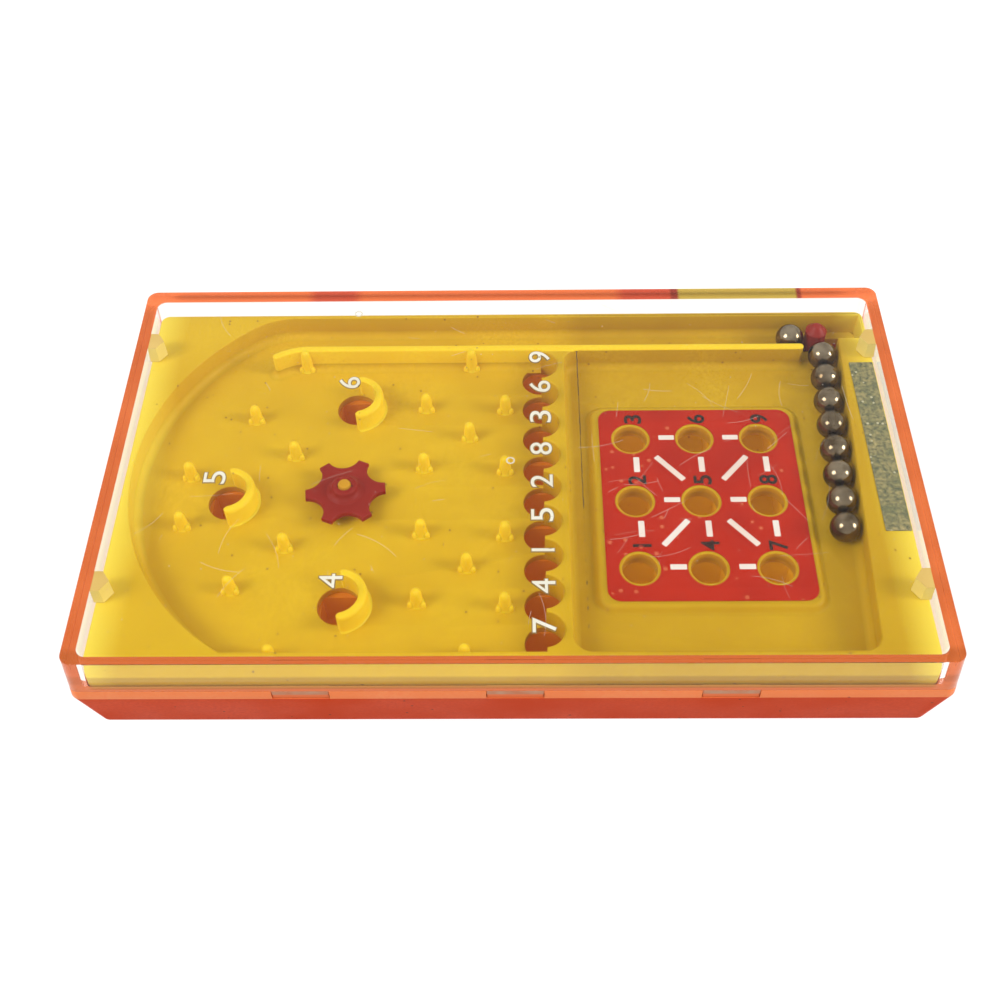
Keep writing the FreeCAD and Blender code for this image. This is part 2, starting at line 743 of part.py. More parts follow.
def many_sided(radius):
    """A regular outline about the origin, for small repeated pieces."""
    return [(f"({radius} * cos({360 * side / PIN_SIDES}))", f"({radius} * sin({360 * side / PIN_SIDES}))")
            for side in range(PIN_SIDES)]


def make_pin():
    """One pin of the field, for copies: flared foot, drafted shaft and blunt point."""
    body = new_body("pin_master")
    sections = [
        ("PinRoot", "-deck_floor / 2", "pin_foot"),
        ("PinFoot", "0", "pin_foot"),
        ("PinShaft", "pin_foot_high", "(pin_radius + pin_draft)"),
        ("PinShoulder", "(pin_high - pin_radius)", "(pin_radius - pin_draft)"),
        ("PinTip", "pin_high", "pin_tip"),
    ]
    loft(body, "PinLoft", [draw(body, name, level, [many_sided(radius)]) for name, level, radius in sections])
    return body


def make_cup():
    """One cup's half-ring wall, for copies."""
    body = new_body("cup_master")
    edge = "(cup_wall / 4)"
    profile = [
        ("cup_inner", "-deck_floor / 2"),
        ("(cup_inner + cup_wall + cup_foot)", "-deck_floor / 2"),
        ("(cup_inner + cup_wall + cup_foot)", "0"),
        ("(cup_inner + cup_wall)", "cup_foot"),
        ("(cup_inner + cup_wall)", f"(cup_high - {edge})"),
        (f"(cup_inner + cup_wall - {edge})", "cup_high"),
        ("cup_inner", "cup_high"),
    ]
    revolve(body, "CupTurned", draw(body, "CupProfile", "0", [profile], plane="XZ_Plane"), "cup_sweep")
    return body


def make_axle():
    """The wheel's pin with the boss that the wheel rests on."""
    body = new_body("axle_master")
    profile = [
        ("0", "-deck_floor / 2"),
        ("(axle_boss + cup_foot)", "-deck_floor / 2"),
        ("(axle_boss + cup_foot)", "0"),
        ("axle_boss", "cup_foot"),
        ("axle_boss", "(star_bottom - seat_gap - play_level)"),
        ("axle_radius", "(star_bottom - seat_gap - play_level)"),
        ("axle_radius", "(rim_level - play_level - axle_radius / 3)"),
        ("(axle_radius * 2 / 3)", "(rim_level - play_level)"),
        ("0", "(rim_level - play_level)"),
    ]
    revolve(body, "AxleTurned", draw(body, "AxleProfile", "0", [profile], plane="XZ_Plane"))
    return body


def pin_places():
    """Free pins in pairs, pins that guard every second pocket, and pins on the two long walls."""
    places = []
    for pair in "abcdef":
        x, offset = f"(arc_x + pair_{pair}_from_arc)", f"pair_{pair}_offset"
        places += [(x, f"(pin_mid_y + {offset})"), (x, f"(pin_mid_y - {offset})")]
    places += [("(pocket_x - pin_before_pocket)", POCKETS[index][1]) for index in (1, 3, 5, 7)]
    for x in ("(arc_x + wall_pin_from_arc)", "(arc_x + wall_pin_from_arc + wall_pin_spread)"):
        places.append((x, "(divider_far - pin_foot)"))
        places.append((x, "(field_near + pin_foot)"))
    return places


def copies(master, name, places, level):
    links = []
    for index, (x, y) in enumerate(places, start=1):
        link = document.addObject("App::Link", f"{name}{index}")
        link.LinkedObject = master
        place(link, x, y, level)
        links.append(link)
    return links


def join_deck():
    plate = make_deck()
    pieces = [plate]
    pieces += copies(make_pin(), "Pin", pin_places(), "play_level")
    pieces += copies(make_cup(), "Cup", CUPS, "play_level")
    pieces += copies(make_axle(), "Axle", [("star_x", "star_y")], "play_level")
    deck = document.addObject("Part::MultiFuse", "play_deck")
    deck.Label = "play_deck"
    deck.Shapes = pieces
    return deck


# Number pad: the raised plate with nine holes, set in the deck's floor, that carries the number label.


def make_number_pad():
    body = new_body("number_pad")
    high = "deck_floor + pad_high"
    pad(body, "PadPlate", draw(body, "PadPlan", "deck_under", [pad_outline()]), high)
    holes = [(x, y, "grid_radius") for x in COLUMNS for y in ROWS]
    pocket(body, "NumberHoles", draw(body, "NumberHolesPlan", "label_level", [], holes), high)
    return body


# Star wheel: six lobes between round notches, with a hub that turns on the deck's pin.


def make_star():
    body = new_body("star_wheel")
    disc = draw(body, "StarPlan", "0", [], [("0", "0", "star_radius")])
    pad(body, "StarDisc", disc, "star_thick")
    notch = draw(body, "NotchCircle", "star_thick",
                 [], [("0", "(star_notch + star_scallop)", "star_scallop")])
    first = pocket(body, "Scallop", notch, "star_thick")
    ring = body.newObject("PartDesign::PolarPattern", "Scallops")
    ring.Originals = [first]
    ring.Axis = (notch, ["N_Axis"])
    ring.Angle = 360
    ring.Occurrences = STAR_LOBES
    body.Tip = ring
    settle(body, ring, False)
    bore = "(axle_radius + axle_gap)"
    high = "(hub_top - star_bottom)"
    profile = [
        (bore, "0"),
        ("(hub_radius + hub_flare)", "0"),
        ("(hub_radius + hub_flare)", "star_thick"),
        ("hub_radius", "(star_thick + hub_flare)"),
        ("(hub_radius - hub_flare / 5)", high),
        (bore, high),
    ]
    revolve(body, "Hub", draw(body, "HubProfile", "0", [profile], plane="XZ_Plane"))
    pocket(body, "Bore", draw(body, "BorePlan", high, [], [("0", "0", bore)]), high)
    place(body, "star_x", "star_y", "star_bottom")
    body.setExpression("Placement.Rotation.Angle", formula(f"star_turn + {180 / STAR_LOBES}"))
    return body


# Striker: post, neck, bar, block for the spring, and thumb tab with grip ribs.


def make_striker():
    body = new_body("striker")
    bar_near = "(guide_y - bar_wide / 2)"
    bar_far = "(guide_y + bar_wide / 2)"
    thumb_back = "(thumb_face + thumb_thick)"
    plan = [
        ("thumb_left", bar_near),
        ("neck_right", bar_near),
        ("neck_right", bar_far),
        ("thumb_right", bar_far),
        ("thumb_right", thumb_back),
        ("thumb_left", thumb_back),
    ]
    pad(body, "Bar", draw(body, "BarPlan", "bar_under", [plan]), "bar_thick")
    reach = "(guide_wide / 2 - guide_gap)"
    block = rectangle("block_x", "(block_x + block_long)", f"(guide_y - {reach})", f"(guide_y + {reach})")
    block_low = "(base_floor + bar_gap)"
    pad(body, "Block", draw(body, "BlockPlan", block_low, [block]), f"bar_under - {block_low}")
    thumb = rectangle("thumb_left", "thumb_right", "thumb_face", thumb_back)
    pad(body, "Thumb", draw(body, "ThumbPlan", "thumb_low", [thumb]), "thumb_high")
    ribs = []
    for index in range(GRIP_RIBS):
        middle = f"(thumb_left + thumb_wide * {index + 1} / {GRIP_RIBS + 1})"
        ribs.append(rectangle(f"({middle} - grip_rib)", f"({middle} + grip_rib)",
                              f"({thumb_back} - grip_rib)", f"({thumb_back} + grip_rib)"))
    pad(body, "Grip", draw(body, "GripPlan", "thumb_low + grip_rib", ribs), "thumb_high - 2 * grip_rib")
    neck = rectangle("neck_left", "neck_right", "(guide_y - neck_wide / 2)", "(guide_y + neck_wide / 2)")
    pad(body, "Neck", draw(body, "NeckPlan", "bar_top", [neck]), "play_level + post_lift - bar_top")
    foot = "(play_level + post_lift)"
    post = draw(body, "PostPlan", foot, [], [("post_x", "guide_y", "post_radius")])
    pillar = pad(body, "Post", post, f"post_top - {foot}")
    bevel_edges(body, pillar, "post_top", "post_round")
    return body


def bevel_edges(body, base, level, wide):
    """Bevels the edges of a feature that lie at a level."""
    names = []
    for index, edge in enumerate(base.Shape.Edges, start=1):
        if all(abs(vertex.Z - size(level)) < 1e-6 for vertex in edge.Vertexes):
            names.append(f"Edge{index}")
    bevel = body.newObject("PartDesign::Chamfer", base.Name + "Bevel")
    bevel.Base = (base, names)
    bevel.setExpression("Size", formula(wide))
    return settle(body, bevel, False)


# Spring between the striker's block and the seat in the base.


def make_spring():
    start = "(block_x + block_long + coil_gap + wire_radius)"
    long = f"(seat_x - coil_gap - wire_radius - {start})"
    helix = document.addObject("Part::Helix", "CoilPath")
    helix.setExpression("Height", formula(long))
    helix.setExpression("Pitch", formula(f"{long} / coil_turns"))
    helix.setExpression("Radius", formula("coil_radius"))
    wire = document.addObject("Part::RegularPolygon", "WireSection")
    wire.Polygon = 4
    wire.setExpression("Circumradius", formula("wire_radius"))
    wire.setExpression("Placement.Base.x", formula("coil_radius"))
    wire.Placement.Rotation = FreeCAD.Rotation(FreeCAD.Vector(1, 0, 0), 90)
    coil = document.addObject("Part::Sweep", "striker_spring")
    coil.Label = "striker_spring"
    coil.Sections = [wire]
    coil.Spine = (helix, ["Edge1"])
    coil.Solid = True
    coil.Frenet = True
    coil.Placement.Rotation = FreeCAD.Rotation(FreeCAD.Vector(0, 1, 0), 90)
    place(coil, start, "guide_y", "(base_floor + bar_gap + coil_radius + wire_radius)")
    return coil


# Labels.


def make_number_label():
    body = new_body("number_label")
    outline = rounded("(pad_left + label_margin_x)", "(pad_right - label_margin_x)",
                      "(pad_near + label_margin_y)", "(pad_far - label_margin_y)", "label_corner")
    pad(body, "NumberSheet", draw(body, "NumberPlan", "label_level", [outline]), "label_thick")
    turns = [360 * side / HOLE_SIDES for side in range(HOLE_SIDES)]
    first = [(f"({COLUMNS[0]} + label_hole * cos({turn}))", f"({ROWS[2]} + label_hole * sin({turn}))")
             for turn in turns]
    plan = draw(body, "FirstHolePlan", "label_level + label_thick", [first])
    hole = pocket(body, "FirstHole", plan, "label_thick")
    grid = body.newObject("PartDesign::MultiTransform", "HoleGrid")
    grid.Originals = [hole]
    runs = []
    for axis, pitch in (("H_Axis", "grid_pitch_x"), ("V_Axis", "grid_pitch_y")):
        run = body.newObject("PartDesign::LinearPattern", "Along" + axis[0])
        run.Direction = (plan, [axis])
        run.setExpression("Length", formula(f"2 * {pitch}"))
        run.Occurrences = 3
        runs.append(run)
    grid.Transformations = runs
    body.Tip = grid
    settle(body, grid, False)
    return body


def make_strip_label():
    body = new_body("strip_label")
    outline = rectangle("strip_x", "(strip_x + strip_wide)", "strip_near", "strip_far")
    pad(body, "Strip", draw(body, "StripPlan", "rim_level", [outline]), "label_thick")
    return body


# Balls: flat-faced all round, eight in the trough and one in the lane.


def make_ball(label, x, y):
    radius = size("ball_radius")
    rings = []
    for ring in range(1, BALL_RINGS):
        tilt = math.pi * ring / BALL_RINGS
        turns = [2 * math.pi * side / BALL_SIDES for side in range(BALL_SIDES)]
        rings.append([FreeCAD.Vector(radius * math.sin(tilt) * math.cos(turn),
                                     radius * math.sin(tilt) * math.sin(turn),
                                     radius * math.cos(tilt)) for turn in turns])
    poles = FreeCAD.Vector(0, 0, radius), FreeCAD.Vector(0, 0, -radius)
    faces = []
    for side in range(BALL_SIDES):
        following = (side + 1) % BALL_SIDES
        faces.append([poles[0], rings[0][side], rings[0][following]])
        faces.append([poles[1], rings[-1][following], rings[-1][side]])
        for upper, lower in zip(rings, rings[1:]):
            faces.append([upper[side], lower[side], lower[following], upper[following]])
    shell = Part.Shell([Part.Face(Part.makePolygon(face + [face[0]])) for face in faces])
    ball = document.addObject("Part::Feature", label)
    ball.Label = label
    ball.Shape = Part.Solid(shell)
    place(ball, x, y, "ball_level")
    return ball


def make_balls():
    balls = []
    for index in range(8):
        y = f"(block_face - ball_radius - {index} * train_pitch)"
        x = f"(trough_far - trough_slope * (divider_near - {y}) - ball_radius - train_clear)"
        balls.append(make_ball(f"ball_{index + 1}", x, y))
    balls.append(make_ball("ball_9", "shot_x", "((divider_far + lane_far) / 2 - shot_nearer)"))
    return balls


pieces = [
    make_base(),
    join_deck(),
    make_number_pad(),
    make_cover(),
    make_star(),
    make_striker(),
    make_spring(),
    make_number_label(),
    make_strip_label(),
    *make_balls(),
]
document.recompute()

for item in document.Objects:
    if "Invalid" in item.State or "Error" in item.State:
        sys.exit(f"{item.Name} is {item.State}")
for piece in pieces:
    if piece.Shape.isNull() or not piece.Shape.isValid():
        sys.exit(f"{piece.Label} has no valid shape")

os.makedirs("parts", exist_ok=True)
for piece in pieces:
    piece.Shape.exportStep(f"parts/{piece.Label}.step")
    box = piece.Shape.BoundBox
    print(f"{piece.Label}: {len(piece.Shape.Solids)} solid, {piece.Shape.Volume:.1f} mm3,",
          f"x {box.XMin:.2f} to {box.XMax:.2f}, y {box.YMin:.2f} to {box.YMax:.2f},",
          f"z {box.ZMin:.2f} to {box.ZMax:.2f}")
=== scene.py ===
# %% [markdown]
# A pocket ball game: a shallow orange case with a clear cover. Under the cover lies a yellow moulded
# deck with pins, cups and pockets, a red wheel, a red striker and nine steel balls.
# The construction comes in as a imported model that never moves. This file gives it its looks: softened
# edges, round pins, printed labels, clear plastic and worn steel.

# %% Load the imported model
import math
import random

import bmesh
import bpy
from mathutils import Matrix, Vector


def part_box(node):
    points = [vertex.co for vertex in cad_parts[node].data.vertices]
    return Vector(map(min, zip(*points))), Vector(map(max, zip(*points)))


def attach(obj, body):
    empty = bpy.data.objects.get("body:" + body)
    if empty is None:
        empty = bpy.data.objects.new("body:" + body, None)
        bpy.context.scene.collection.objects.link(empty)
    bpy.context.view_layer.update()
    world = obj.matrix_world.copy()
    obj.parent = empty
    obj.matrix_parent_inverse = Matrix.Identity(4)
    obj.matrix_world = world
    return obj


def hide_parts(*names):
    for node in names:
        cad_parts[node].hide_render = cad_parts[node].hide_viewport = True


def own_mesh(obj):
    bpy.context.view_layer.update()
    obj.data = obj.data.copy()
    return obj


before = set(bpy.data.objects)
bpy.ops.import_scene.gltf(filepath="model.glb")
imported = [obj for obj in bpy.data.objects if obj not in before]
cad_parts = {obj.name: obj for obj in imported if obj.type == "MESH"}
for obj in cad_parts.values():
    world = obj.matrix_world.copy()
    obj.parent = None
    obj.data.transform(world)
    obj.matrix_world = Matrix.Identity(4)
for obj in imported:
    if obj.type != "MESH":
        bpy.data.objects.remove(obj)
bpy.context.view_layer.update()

print("pieces in the packed model:", sorted(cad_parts))

# %% [markdown]
# Everything is in metres, but toy parts are easier to read in millimetres. So sizes are written in
# millimetres, and MM turns them into metres where a mesh is made.

# %% Millimetres
MM = 0.001


def box_mm(node):
    """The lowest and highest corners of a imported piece, in millimetres."""
    low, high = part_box(node)
    return low / MM, high / MM


case_low, case_high = box_mm("base_case")
deck_low, deck_high = box_mm("play_deck")
cover_high = box_mm("clear_cover")[1]
PLAY_LEVEL, RIM_LEVEL, COVER_UNDER = 8.5, deck_high.z, 15.75
print("case is", tuple(round(v, 2) for v in case_high - case_low), "mm, rim at", round(RIM_LEVEL, 2))

# %% [markdown]
# Every piece ends the same way. Its mesh becomes an object with materials, smooth faces and sharp corners.
# It rides on a body, so it moves when the body does.

# %% Finished pieces
def finish_mesh(name, mesh, materials, body, smooth=40):
    """Makes a piece of a mesh: smooth faces, sharp corners kept, its materials, riding on a body.

    A smooth of None leaves the mesh's own normals as they are.
    """
    piece = bpy.data.objects.new(name, mesh)
    bpy.context.scene.collection.objects.link(piece)
    if mesh.materials:
        mesh.materials.clear()
    for material in materials if isinstance(materials, tuple) else (materials,):
        mesh.materials.append(material)
    if smooth is not None:
        mesh.shade_smooth()
        mesh.set_sharp_from_angle(angle=math.radians(smooth))
    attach(piece, body)
    print(name, "has", len(mesh.polygons), "faces")
    return piece


# %% [markdown]
# Flat mouldings, such as the deck's rim or a label, are one outline with holes in it. Outlines are lists
# of points in millimetres, and most of them are made of arcs.

# %% Outlines
def arc(x, y, radius, start, end, steps=12):
    """Points on an arc, from one angle to another, in degrees."""
    turns = [math.radians(start + (end - start) * step / steps) for step in range(steps + 1)]
    return [(x + radius * math.cos(turn), y + radius * math.sin(turn)) for turn in turns]


def circle(x, y, radius, steps=64):
    """Points all round a circle."""
    return arc(x, y, radius, 0, 360 - 360 / steps, steps - 1)


def rounded(left, right, near, far, radius):
    """A rectangle with round corners."""
    return (
        arc(right - radius, near + radius, radius, -90, 0)
        + arc(right - radius, far - radius, radius, 0, 90)
        + arc(left + radius, far - radius, radius, 90, 180)
        + arc(left + radius, near + radius, radius, 180, 270)
    )


print("a rounded rectangle has", len(rounded(0, 2, 0, 1, 0.2)), "points")

# %% [markdown]
# A two-dimensional curve fills itself round its holes, gets thickness from extrude and a round edge from
# bevel, so one helper makes all the plates. The offset draws the outline in by the bevel, so the size
# stays true.

# %% Plates from outlines
WELD_REACH = 0.002


def weld(mesh):
    """Joins points that lie on each other."""
    work = bmesh.new()
    work.from_mesh(mesh)
    bmesh.ops.remove_doubles(work, verts=work.verts, dist=WELD_REACH * MM)
    work.to_mesh(mesh)
    work.free()


def plate(loops, low, high, edge):
    """A mesh in metres, from closed outlines in millimetres and two levels, with round edges."""
    curve = bpy.data.curves.new("outline", "CURVE")
    curve.dimensions = "2D"
    curve.fill_mode = "BOTH"
    curve.extrude = (high - low) / 2 - edge
    curve.bevel_depth = edge
    curve.bevel_resolution = 2
    curve.offset = -edge
    for loop in loops:
        spline = curve.splines.new("POLY")
        spline.points.add(len(loop) - 1)
        for point, (x, y) in zip(spline.points, loop):
            point.co = (x, y, 0, 1)
        spline.use_cyclic_u = True
    mesh = mesh_of(curve)
    mesh.transform(Matrix.Scale(MM, 4) @ Matrix.Translation((0, 0, (high + low) / 2)))
    weld(mesh)
    return mesh


def mesh_of(curve):
    """The mesh that a curve or a text makes."""
    holder = bpy.data.objects.new("holder", curve)
    mesh = bpy.data.meshes.new_from_object(holder)
    bpy.data.objects.remove(holder)
    return mesh


# %% [markdown]
# Other forms are rings of corners with a skin of faces between them. Round things, such as pins and hubs,
# are turned on a lathe: a profile of radius and height is carried round an axis. Long things, such as
# fillets and scratches, are a section carried along a path.

# %% Turned and swept forms
def skin(work, rings):
    """Joins each ring of corners to the next. Where corners fall together, the face has fewer."""
    for one, two in zip(rings, rings[1:]):
        for side in range(len(one)):
            after = (side + 1) % len(one)
            work.faces.new(list(dict.fromkeys((one[side], one[after], two[after], two[side]))))


def closed_skin(work, rings):
    """A skin with both end rings filled."""
    skin(work, rings)
    work.faces.new(rings[0])
    work.faces.new(list(reversed(rings[-1])))


def to_mesh(work, place=(0, 0, 0)):
    """Ends mesh work that was done in millimetres."""
    bmesh.ops.recalc_face_normals(work, faces=work.faces)
    mesh = bpy.data.meshes.new("form")
    work.to_mesh(mesh)
    work.free()
    mesh.transform(Matrix.Translation(Vector(place) * MM) @ Matrix.Scale(MM, 4))
    return mesh


def turned(profile, place=(0, 0, 0), steps=32):
    """A mesh turned about Z from (radius, height) pairs in millimetres. Ends at radius 0 close it."""
    work = bmesh.new()
    rings = []
    for radius, height in profile:
        if radius == 0:
            rings.append([work.verts.new((0, 0, height))] * steps)
        else:
            rings.append([work.verts.new((x, y, height)) for x, y in circle(0, 0, radius, steps)])
    skin(work, rings)
    return to_mesh(work, place)


def swept(points, section, level):
    """A closed section of (sideways, height) pairs carried along points, sideways being to their left."""
    work = bmesh.new()
    rings = []
    for index, (x, y) in enumerate(points):
        before, after = points[max(index - 1, 0)], points[min(index + 1, len(points) - 1)]
        sides = []
        for (x1, y1), (x2, y2) in ((before, (x, y)), ((x, y), after)):
            long = math.hypot(x2 - x1, y2 - y1)
            if long > 1e-6:
                sides.append(Vector((-(y2 - y1) / long, (x2 - x1) / long)))
        half = (sides[0] + sides[-1]).normalized()
        half /= max(half.dot(sides[0]), 0.5)
        ring = [(x + half.x * out, y + half.y * out, level + up) for out, up in section]
        rings.append([work.verts.new(corner) for corner in ring])
    closed_skin(work, rings)
    return to_mesh(work)


# %% [markdown]
# A piece can have more than one finish, such as a thin edge that light shines through. Each face knows its
# finish by a number, which a test on its middle and its direction gives it.

# %% Tinted and joined meshes
def tinted(mesh, index, test=None):
    """Gives a mesh, or the faces whose middle and direction pass a test, another of a piece's materials."""
    for face in mesh.polygons:
        if test is None or test(face.center / MM, face.normal):
            face.material_index = index
    return mesh


def joined(meshes):
    """One mesh of several."""
    work = bmesh.new()
    for mesh in meshes:
        work.from_mesh(mesh)
    whole = bpy.data.meshes.new("joined")
    work.to_mesh(whole)
    work.free()
    return whole


# %% [markdown]
# The case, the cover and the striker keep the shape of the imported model, but its edges are knife sharp.
# Real plastic rounds them, and a round edge is what catches the light. So these pieces are copies of the
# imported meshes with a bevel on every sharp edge. Weighted normals keep the flat faces flat, which the
# clear cover needs, because it bends light by them.

# %% Softened copies
def softened(name, width, segments=2, sharp=30):
    """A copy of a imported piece's mesh with round edges of a width in millimetres."""
    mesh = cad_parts[name].data.copy()
    weld(mesh)
    mesh.shade_smooth()
    holder = bpy.data.objects.new("holder", mesh)
    bpy.context.scene.collection.objects.link(holder)
    bevel = holder.modifiers.new("round", "BEVEL")
    bevel.width = width * MM
    bevel.segments = segments
    bevel.angle_limit = math.radians(sharp)
    bevel.limit_method = "ANGLE"
    weigh = holder.modifiers.new("flat faces stay flat", "WEIGHTED_NORMAL")
    weigh.keep_sharp = True
    graph = bpy.context.evaluated_depsgraph_get()
    soft = bpy.data.meshes.new_from_object(holder.evaluated_get(graph))
    bpy.data.objects.remove(holder)
    print(name, "softened to", len(soft.polygons), "faces")
    return soft


# %% [markdown]
# Materials are node networks. Small helpers add a node, write its plain values and link its sockets, so
# that a network reads like a list. The place of a point on the object is its own axes' X, Y and Z in
# metres, so a pattern stays where it is from every side.

# %% Node helpers
def fill(tree, made, inputs):
    """Writes a plain value into each named input of a node, or links a socket to it."""
    for name, value in inputs.items():
        if isinstance(value, bpy.types.NodeSocket):
            tree.links.new(value, made.inputs[name])
        else:
            made.inputs[name].default_value = value


def node(tree, kind, inputs=None, **settings):
    """Adds a node, sets its properties, then its inputs."""
    made = tree.nodes.new(kind)
    for name, value in settings.items():
        setattr(made, name, value)
    fill(tree, made, inputs or {})
    return made


def spot(tree):
    """Where a point lies on the object, in metres."""
    return node(tree, "ShaderNodeTexCoord").outputs["Object"]


def maths(tree, operation, *values):
    """The result of a sum on values or sockets."""
    return node(tree, "ShaderNodeMath", dict(enumerate(values)), operation=operation).outputs[0]


def ramp(tree, value, low=0.0, high=1.0, start=0.0, end=1.0):
    """A value spread from start at low to end at high."""
    inputs = {"Value": value, "From Min": low, "From Max": high, "To Min": start, "To Max": end}
    return node(tree, "ShaderNodeMapRange", inputs).outputs["Result"]


def rise(tree, along, start, end):
    """A mask that goes from 0 to 1 between two places, in millimetres."""
    return ramp(tree, along, start * MM, end * MM)


def mixed(tree, mask, below, above, blend="MIX"):
    """One colour over another by a mask."""
    inputs = {"Factor": mask, "A": below, "B": above}
    return node(tree, "ShaderNodeMix", inputs, data_type="RGBA", blend_type=blend).outputs["Result"]


def noise(tree, place, scale, detail):
    """A cloud of values from 0 to 1."""
    inputs = {"Vector": place, "Scale": scale, "Detail": detail}
    return node(tree, "ShaderNodeTexNoise", inputs).outputs["Fac"]


def grain(tree, scale, height):
    """A fine uneven surface."""
    inputs = {"Height": noise(tree, spot(tree), scale, 5.0), "Distance": height * MM}
    return node(tree, "ShaderNodeBump", inputs).outputs["Normal"]


# %% [markdown]
# Effects that several finishes share are groups, built once and used with different values: a drift of
# two colours that melt into each other, small scattered specks of dust and dirt, and fine scratches.

# %% Groups: drift, specks and scratches
def new_group(name, inputs, outputs):
    """An empty node group with named sockets. Each socket is a name, a kind and a first value."""
    tree = bpy.data.node_groups.new(name, "ShaderNodeTree")
    for title, kind, value in inputs:
        socket = tree.interface.new_socket(name=title, in_out="INPUT", socket_type="NodeSocket" + kind)
        socket.default_value = value
    for title, kind in outputs:
        tree.interface.new_socket(name=title, in_out="OUTPUT", socket_type="NodeSocket" + kind)
    return tree, tree.nodes.new("NodeGroupInput").outputs, tree.nodes.new("NodeGroupOutput")


def build_drift():
    """Two colours that melt into each other, with the mask between them."""
    tree, given, out = new_group(
        "drift",
        [("Color A", "Color", (1, 1, 1, 1)), ("Color B", "Color", (0, 0, 0, 1)), ("Scale", "Float", 100.0)],
        [("Color", "Color"), ("Mask", "Float")],
    )
    mask = ramp(tree, noise(tree, spot(tree), given["Scale"], 4.0), 0.35, 0.68)
    fill(tree, out, {"Color": mixed(tree, mask, given["Color A"], given["Color B"]), "Mask": mask})
    return tree


def build_specks():
    """Small scattered spots, such as dust and dirt: a mask of cells, of which only some are kept."""
    tree, given, out = new_group(
        "specks", [("Scale", "Float", 900.0), ("Size", "Float", 0.2), ("Amount", "Float", 0.5)],
        [("Mask", "Float")],
    )
    cells = node(tree, "ShaderNodeTexVoronoi", {"Vector": spot(tree), "Scale": given["Scale"]}).outputs
    near = maths(tree, "LESS_THAN", cells["Distance"], given["Size"])
    draw = node(tree, "ShaderNodeSeparateColor", {"Color": cells["Color"]}).outputs["Red"]
    few = maths(tree, "LESS_THAN", draw, given["Amount"])
    fill(tree, out, {"Mask": maths(tree, "MULTIPLY", near, few)})
    return tree


def build_scratches():
    """Thin straight lines in one direction: stretched noise, cut to its crests, in some places only."""
    tree, given, out = new_group(
        "scratches", [("Turn", "Float", 0.5), ("Scale", "Float", 400.0), ("Amount", "Float", 0.05)],
        [("Mask", "Float")],
    )
    place = spot(tree)
    turn = node(tree, "ShaderNodeVectorRotate", {"Vector": place, "Angle": given["Turn"]},
                rotation_type="Z_AXIS")
    thin = node(tree, "ShaderNodeVectorMath", {0: turn.outputs["Vector"], 1: (0.02, 1.0, 0.02)},
                operation="MULTIPLY")
    crest = maths(tree, "SUBTRACT", noise(tree, thin.outputs["Vector"], given["Scale"], 2.0), 0.5)
    line = maths(tree, "LESS_THAN", maths(tree, "ABSOLUTE", crest), given["Amount"])
    some = ramp(tree, noise(tree, place, 60.0, 3.0), 0.55, 0.7)
    fill(tree, out, {"Mask": maths(tree, "MULTIPLY", line, some)})
    return tree


DRIFT, SPECKS, SCRATCHES = build_drift(), build_specks(), build_scratches()
print("groups:", [tree.name for tree in bpy.data.node_groups])

# %% [markdown]
# The plastics of the mouldings are the same stuff in different colours: glossy, a little soft inside, with a
# faint grain and years of dust. One function makes them all. Some get a painted glow, an emission that
# stands in for light that thin walls let through. Lighter and darker copies of the yellow and the orange are
# painted light and painted shade. The deck gets painted shade at the right and painted light at its short
# ends.

# %% Moulded plastic
# Where the painted tone at the right and the painted light at the short ends come in, in millimetres of X.
RIGHT_TONE_SPAN, LIT_ENDS_SPAN = (6, 12), (53.0, 58.2)


def placed(tree, group, **inputs):
    """Puts a group into a material."""
    made = tree.nodes.new("ShaderNodeGroup")
    made.node_tree = group
    fill(tree, made, {name.replace("_", " "): value for name, value in inputs.items()})
    return made.outputs


def new_material(name):
    """A material with its shader ready: returns the node tree and the Principled node."""
    material = bpy.data.materials.new(name)
    material.use_nodes = True
    tree = material.node_tree
    return material, tree, tree.nodes["Principled BSDF"]


def side_tone(tree, colour, right, rim):
    """Paints light and shade on the right of the deck by multiplying its colour, and paints light at both
    short ends by mixing another colour into it.
    """
    x = node(tree, "ShaderNodeSeparateXYZ", {"Vector": spot(tree)}).outputs["X"]
    toned_right = mixed(tree, rise(tree, x, *RIGHT_TONE_SPAN), colour, right, "MULTIPLY")
    if rim is None:
        return toned_right
    return mixed(tree, rise(tree, maths(tree, "ABSOLUTE", x), *LIT_ENDS_SPAN), toned_right, rim)


def plastic(name, colour, deep, dirt, roughness=0.38, inside=0.12, gloss=0.12, glow=0.0,
            right=None, rim=None):
    """Moulded plastic: a drifting colour, fine mottling, specks of dirt and grain, and a painted glow where
    asked.
    """
    material, tree, shader = new_material(name)
    base = placed(tree, DRIFT, Color_A=colour, Color_B=deep, Scale=90.0)
    fine = placed(tree, DRIFT, Color_A=base["Color"], Color_B=deep, Scale=2300.0)
    specks = placed(tree, SPECKS, Scale=1100.0, Size=0.2, Amount=0.04)
    toned = side_tone(tree, fine["Color"], right, rim) if right else fine["Color"]
    fill(tree, shader, {
        "Base Color": mixed(tree, specks["Mask"], toned, dirt),
        "Roughness": ramp(tree, base["Mask"], start=roughness, end=roughness + 0.14),
        "Normal": grain(tree, 1400.0, 0.02),
        "IOR": 1.5,
        "Specular IOR Level": gloss,
        "Subsurface Weight": inside,
        "Subsurface Radius": (1.0, 0.6, 0.25),
        "Subsurface Scale": 0.6 * MM,
    })
    # The glow is painted light: an emission that stands in for light coming through the plastic.
    if glow:
        fill(tree, shader, {"Emission Color": toned, "Emission Strength": glow})
    return material
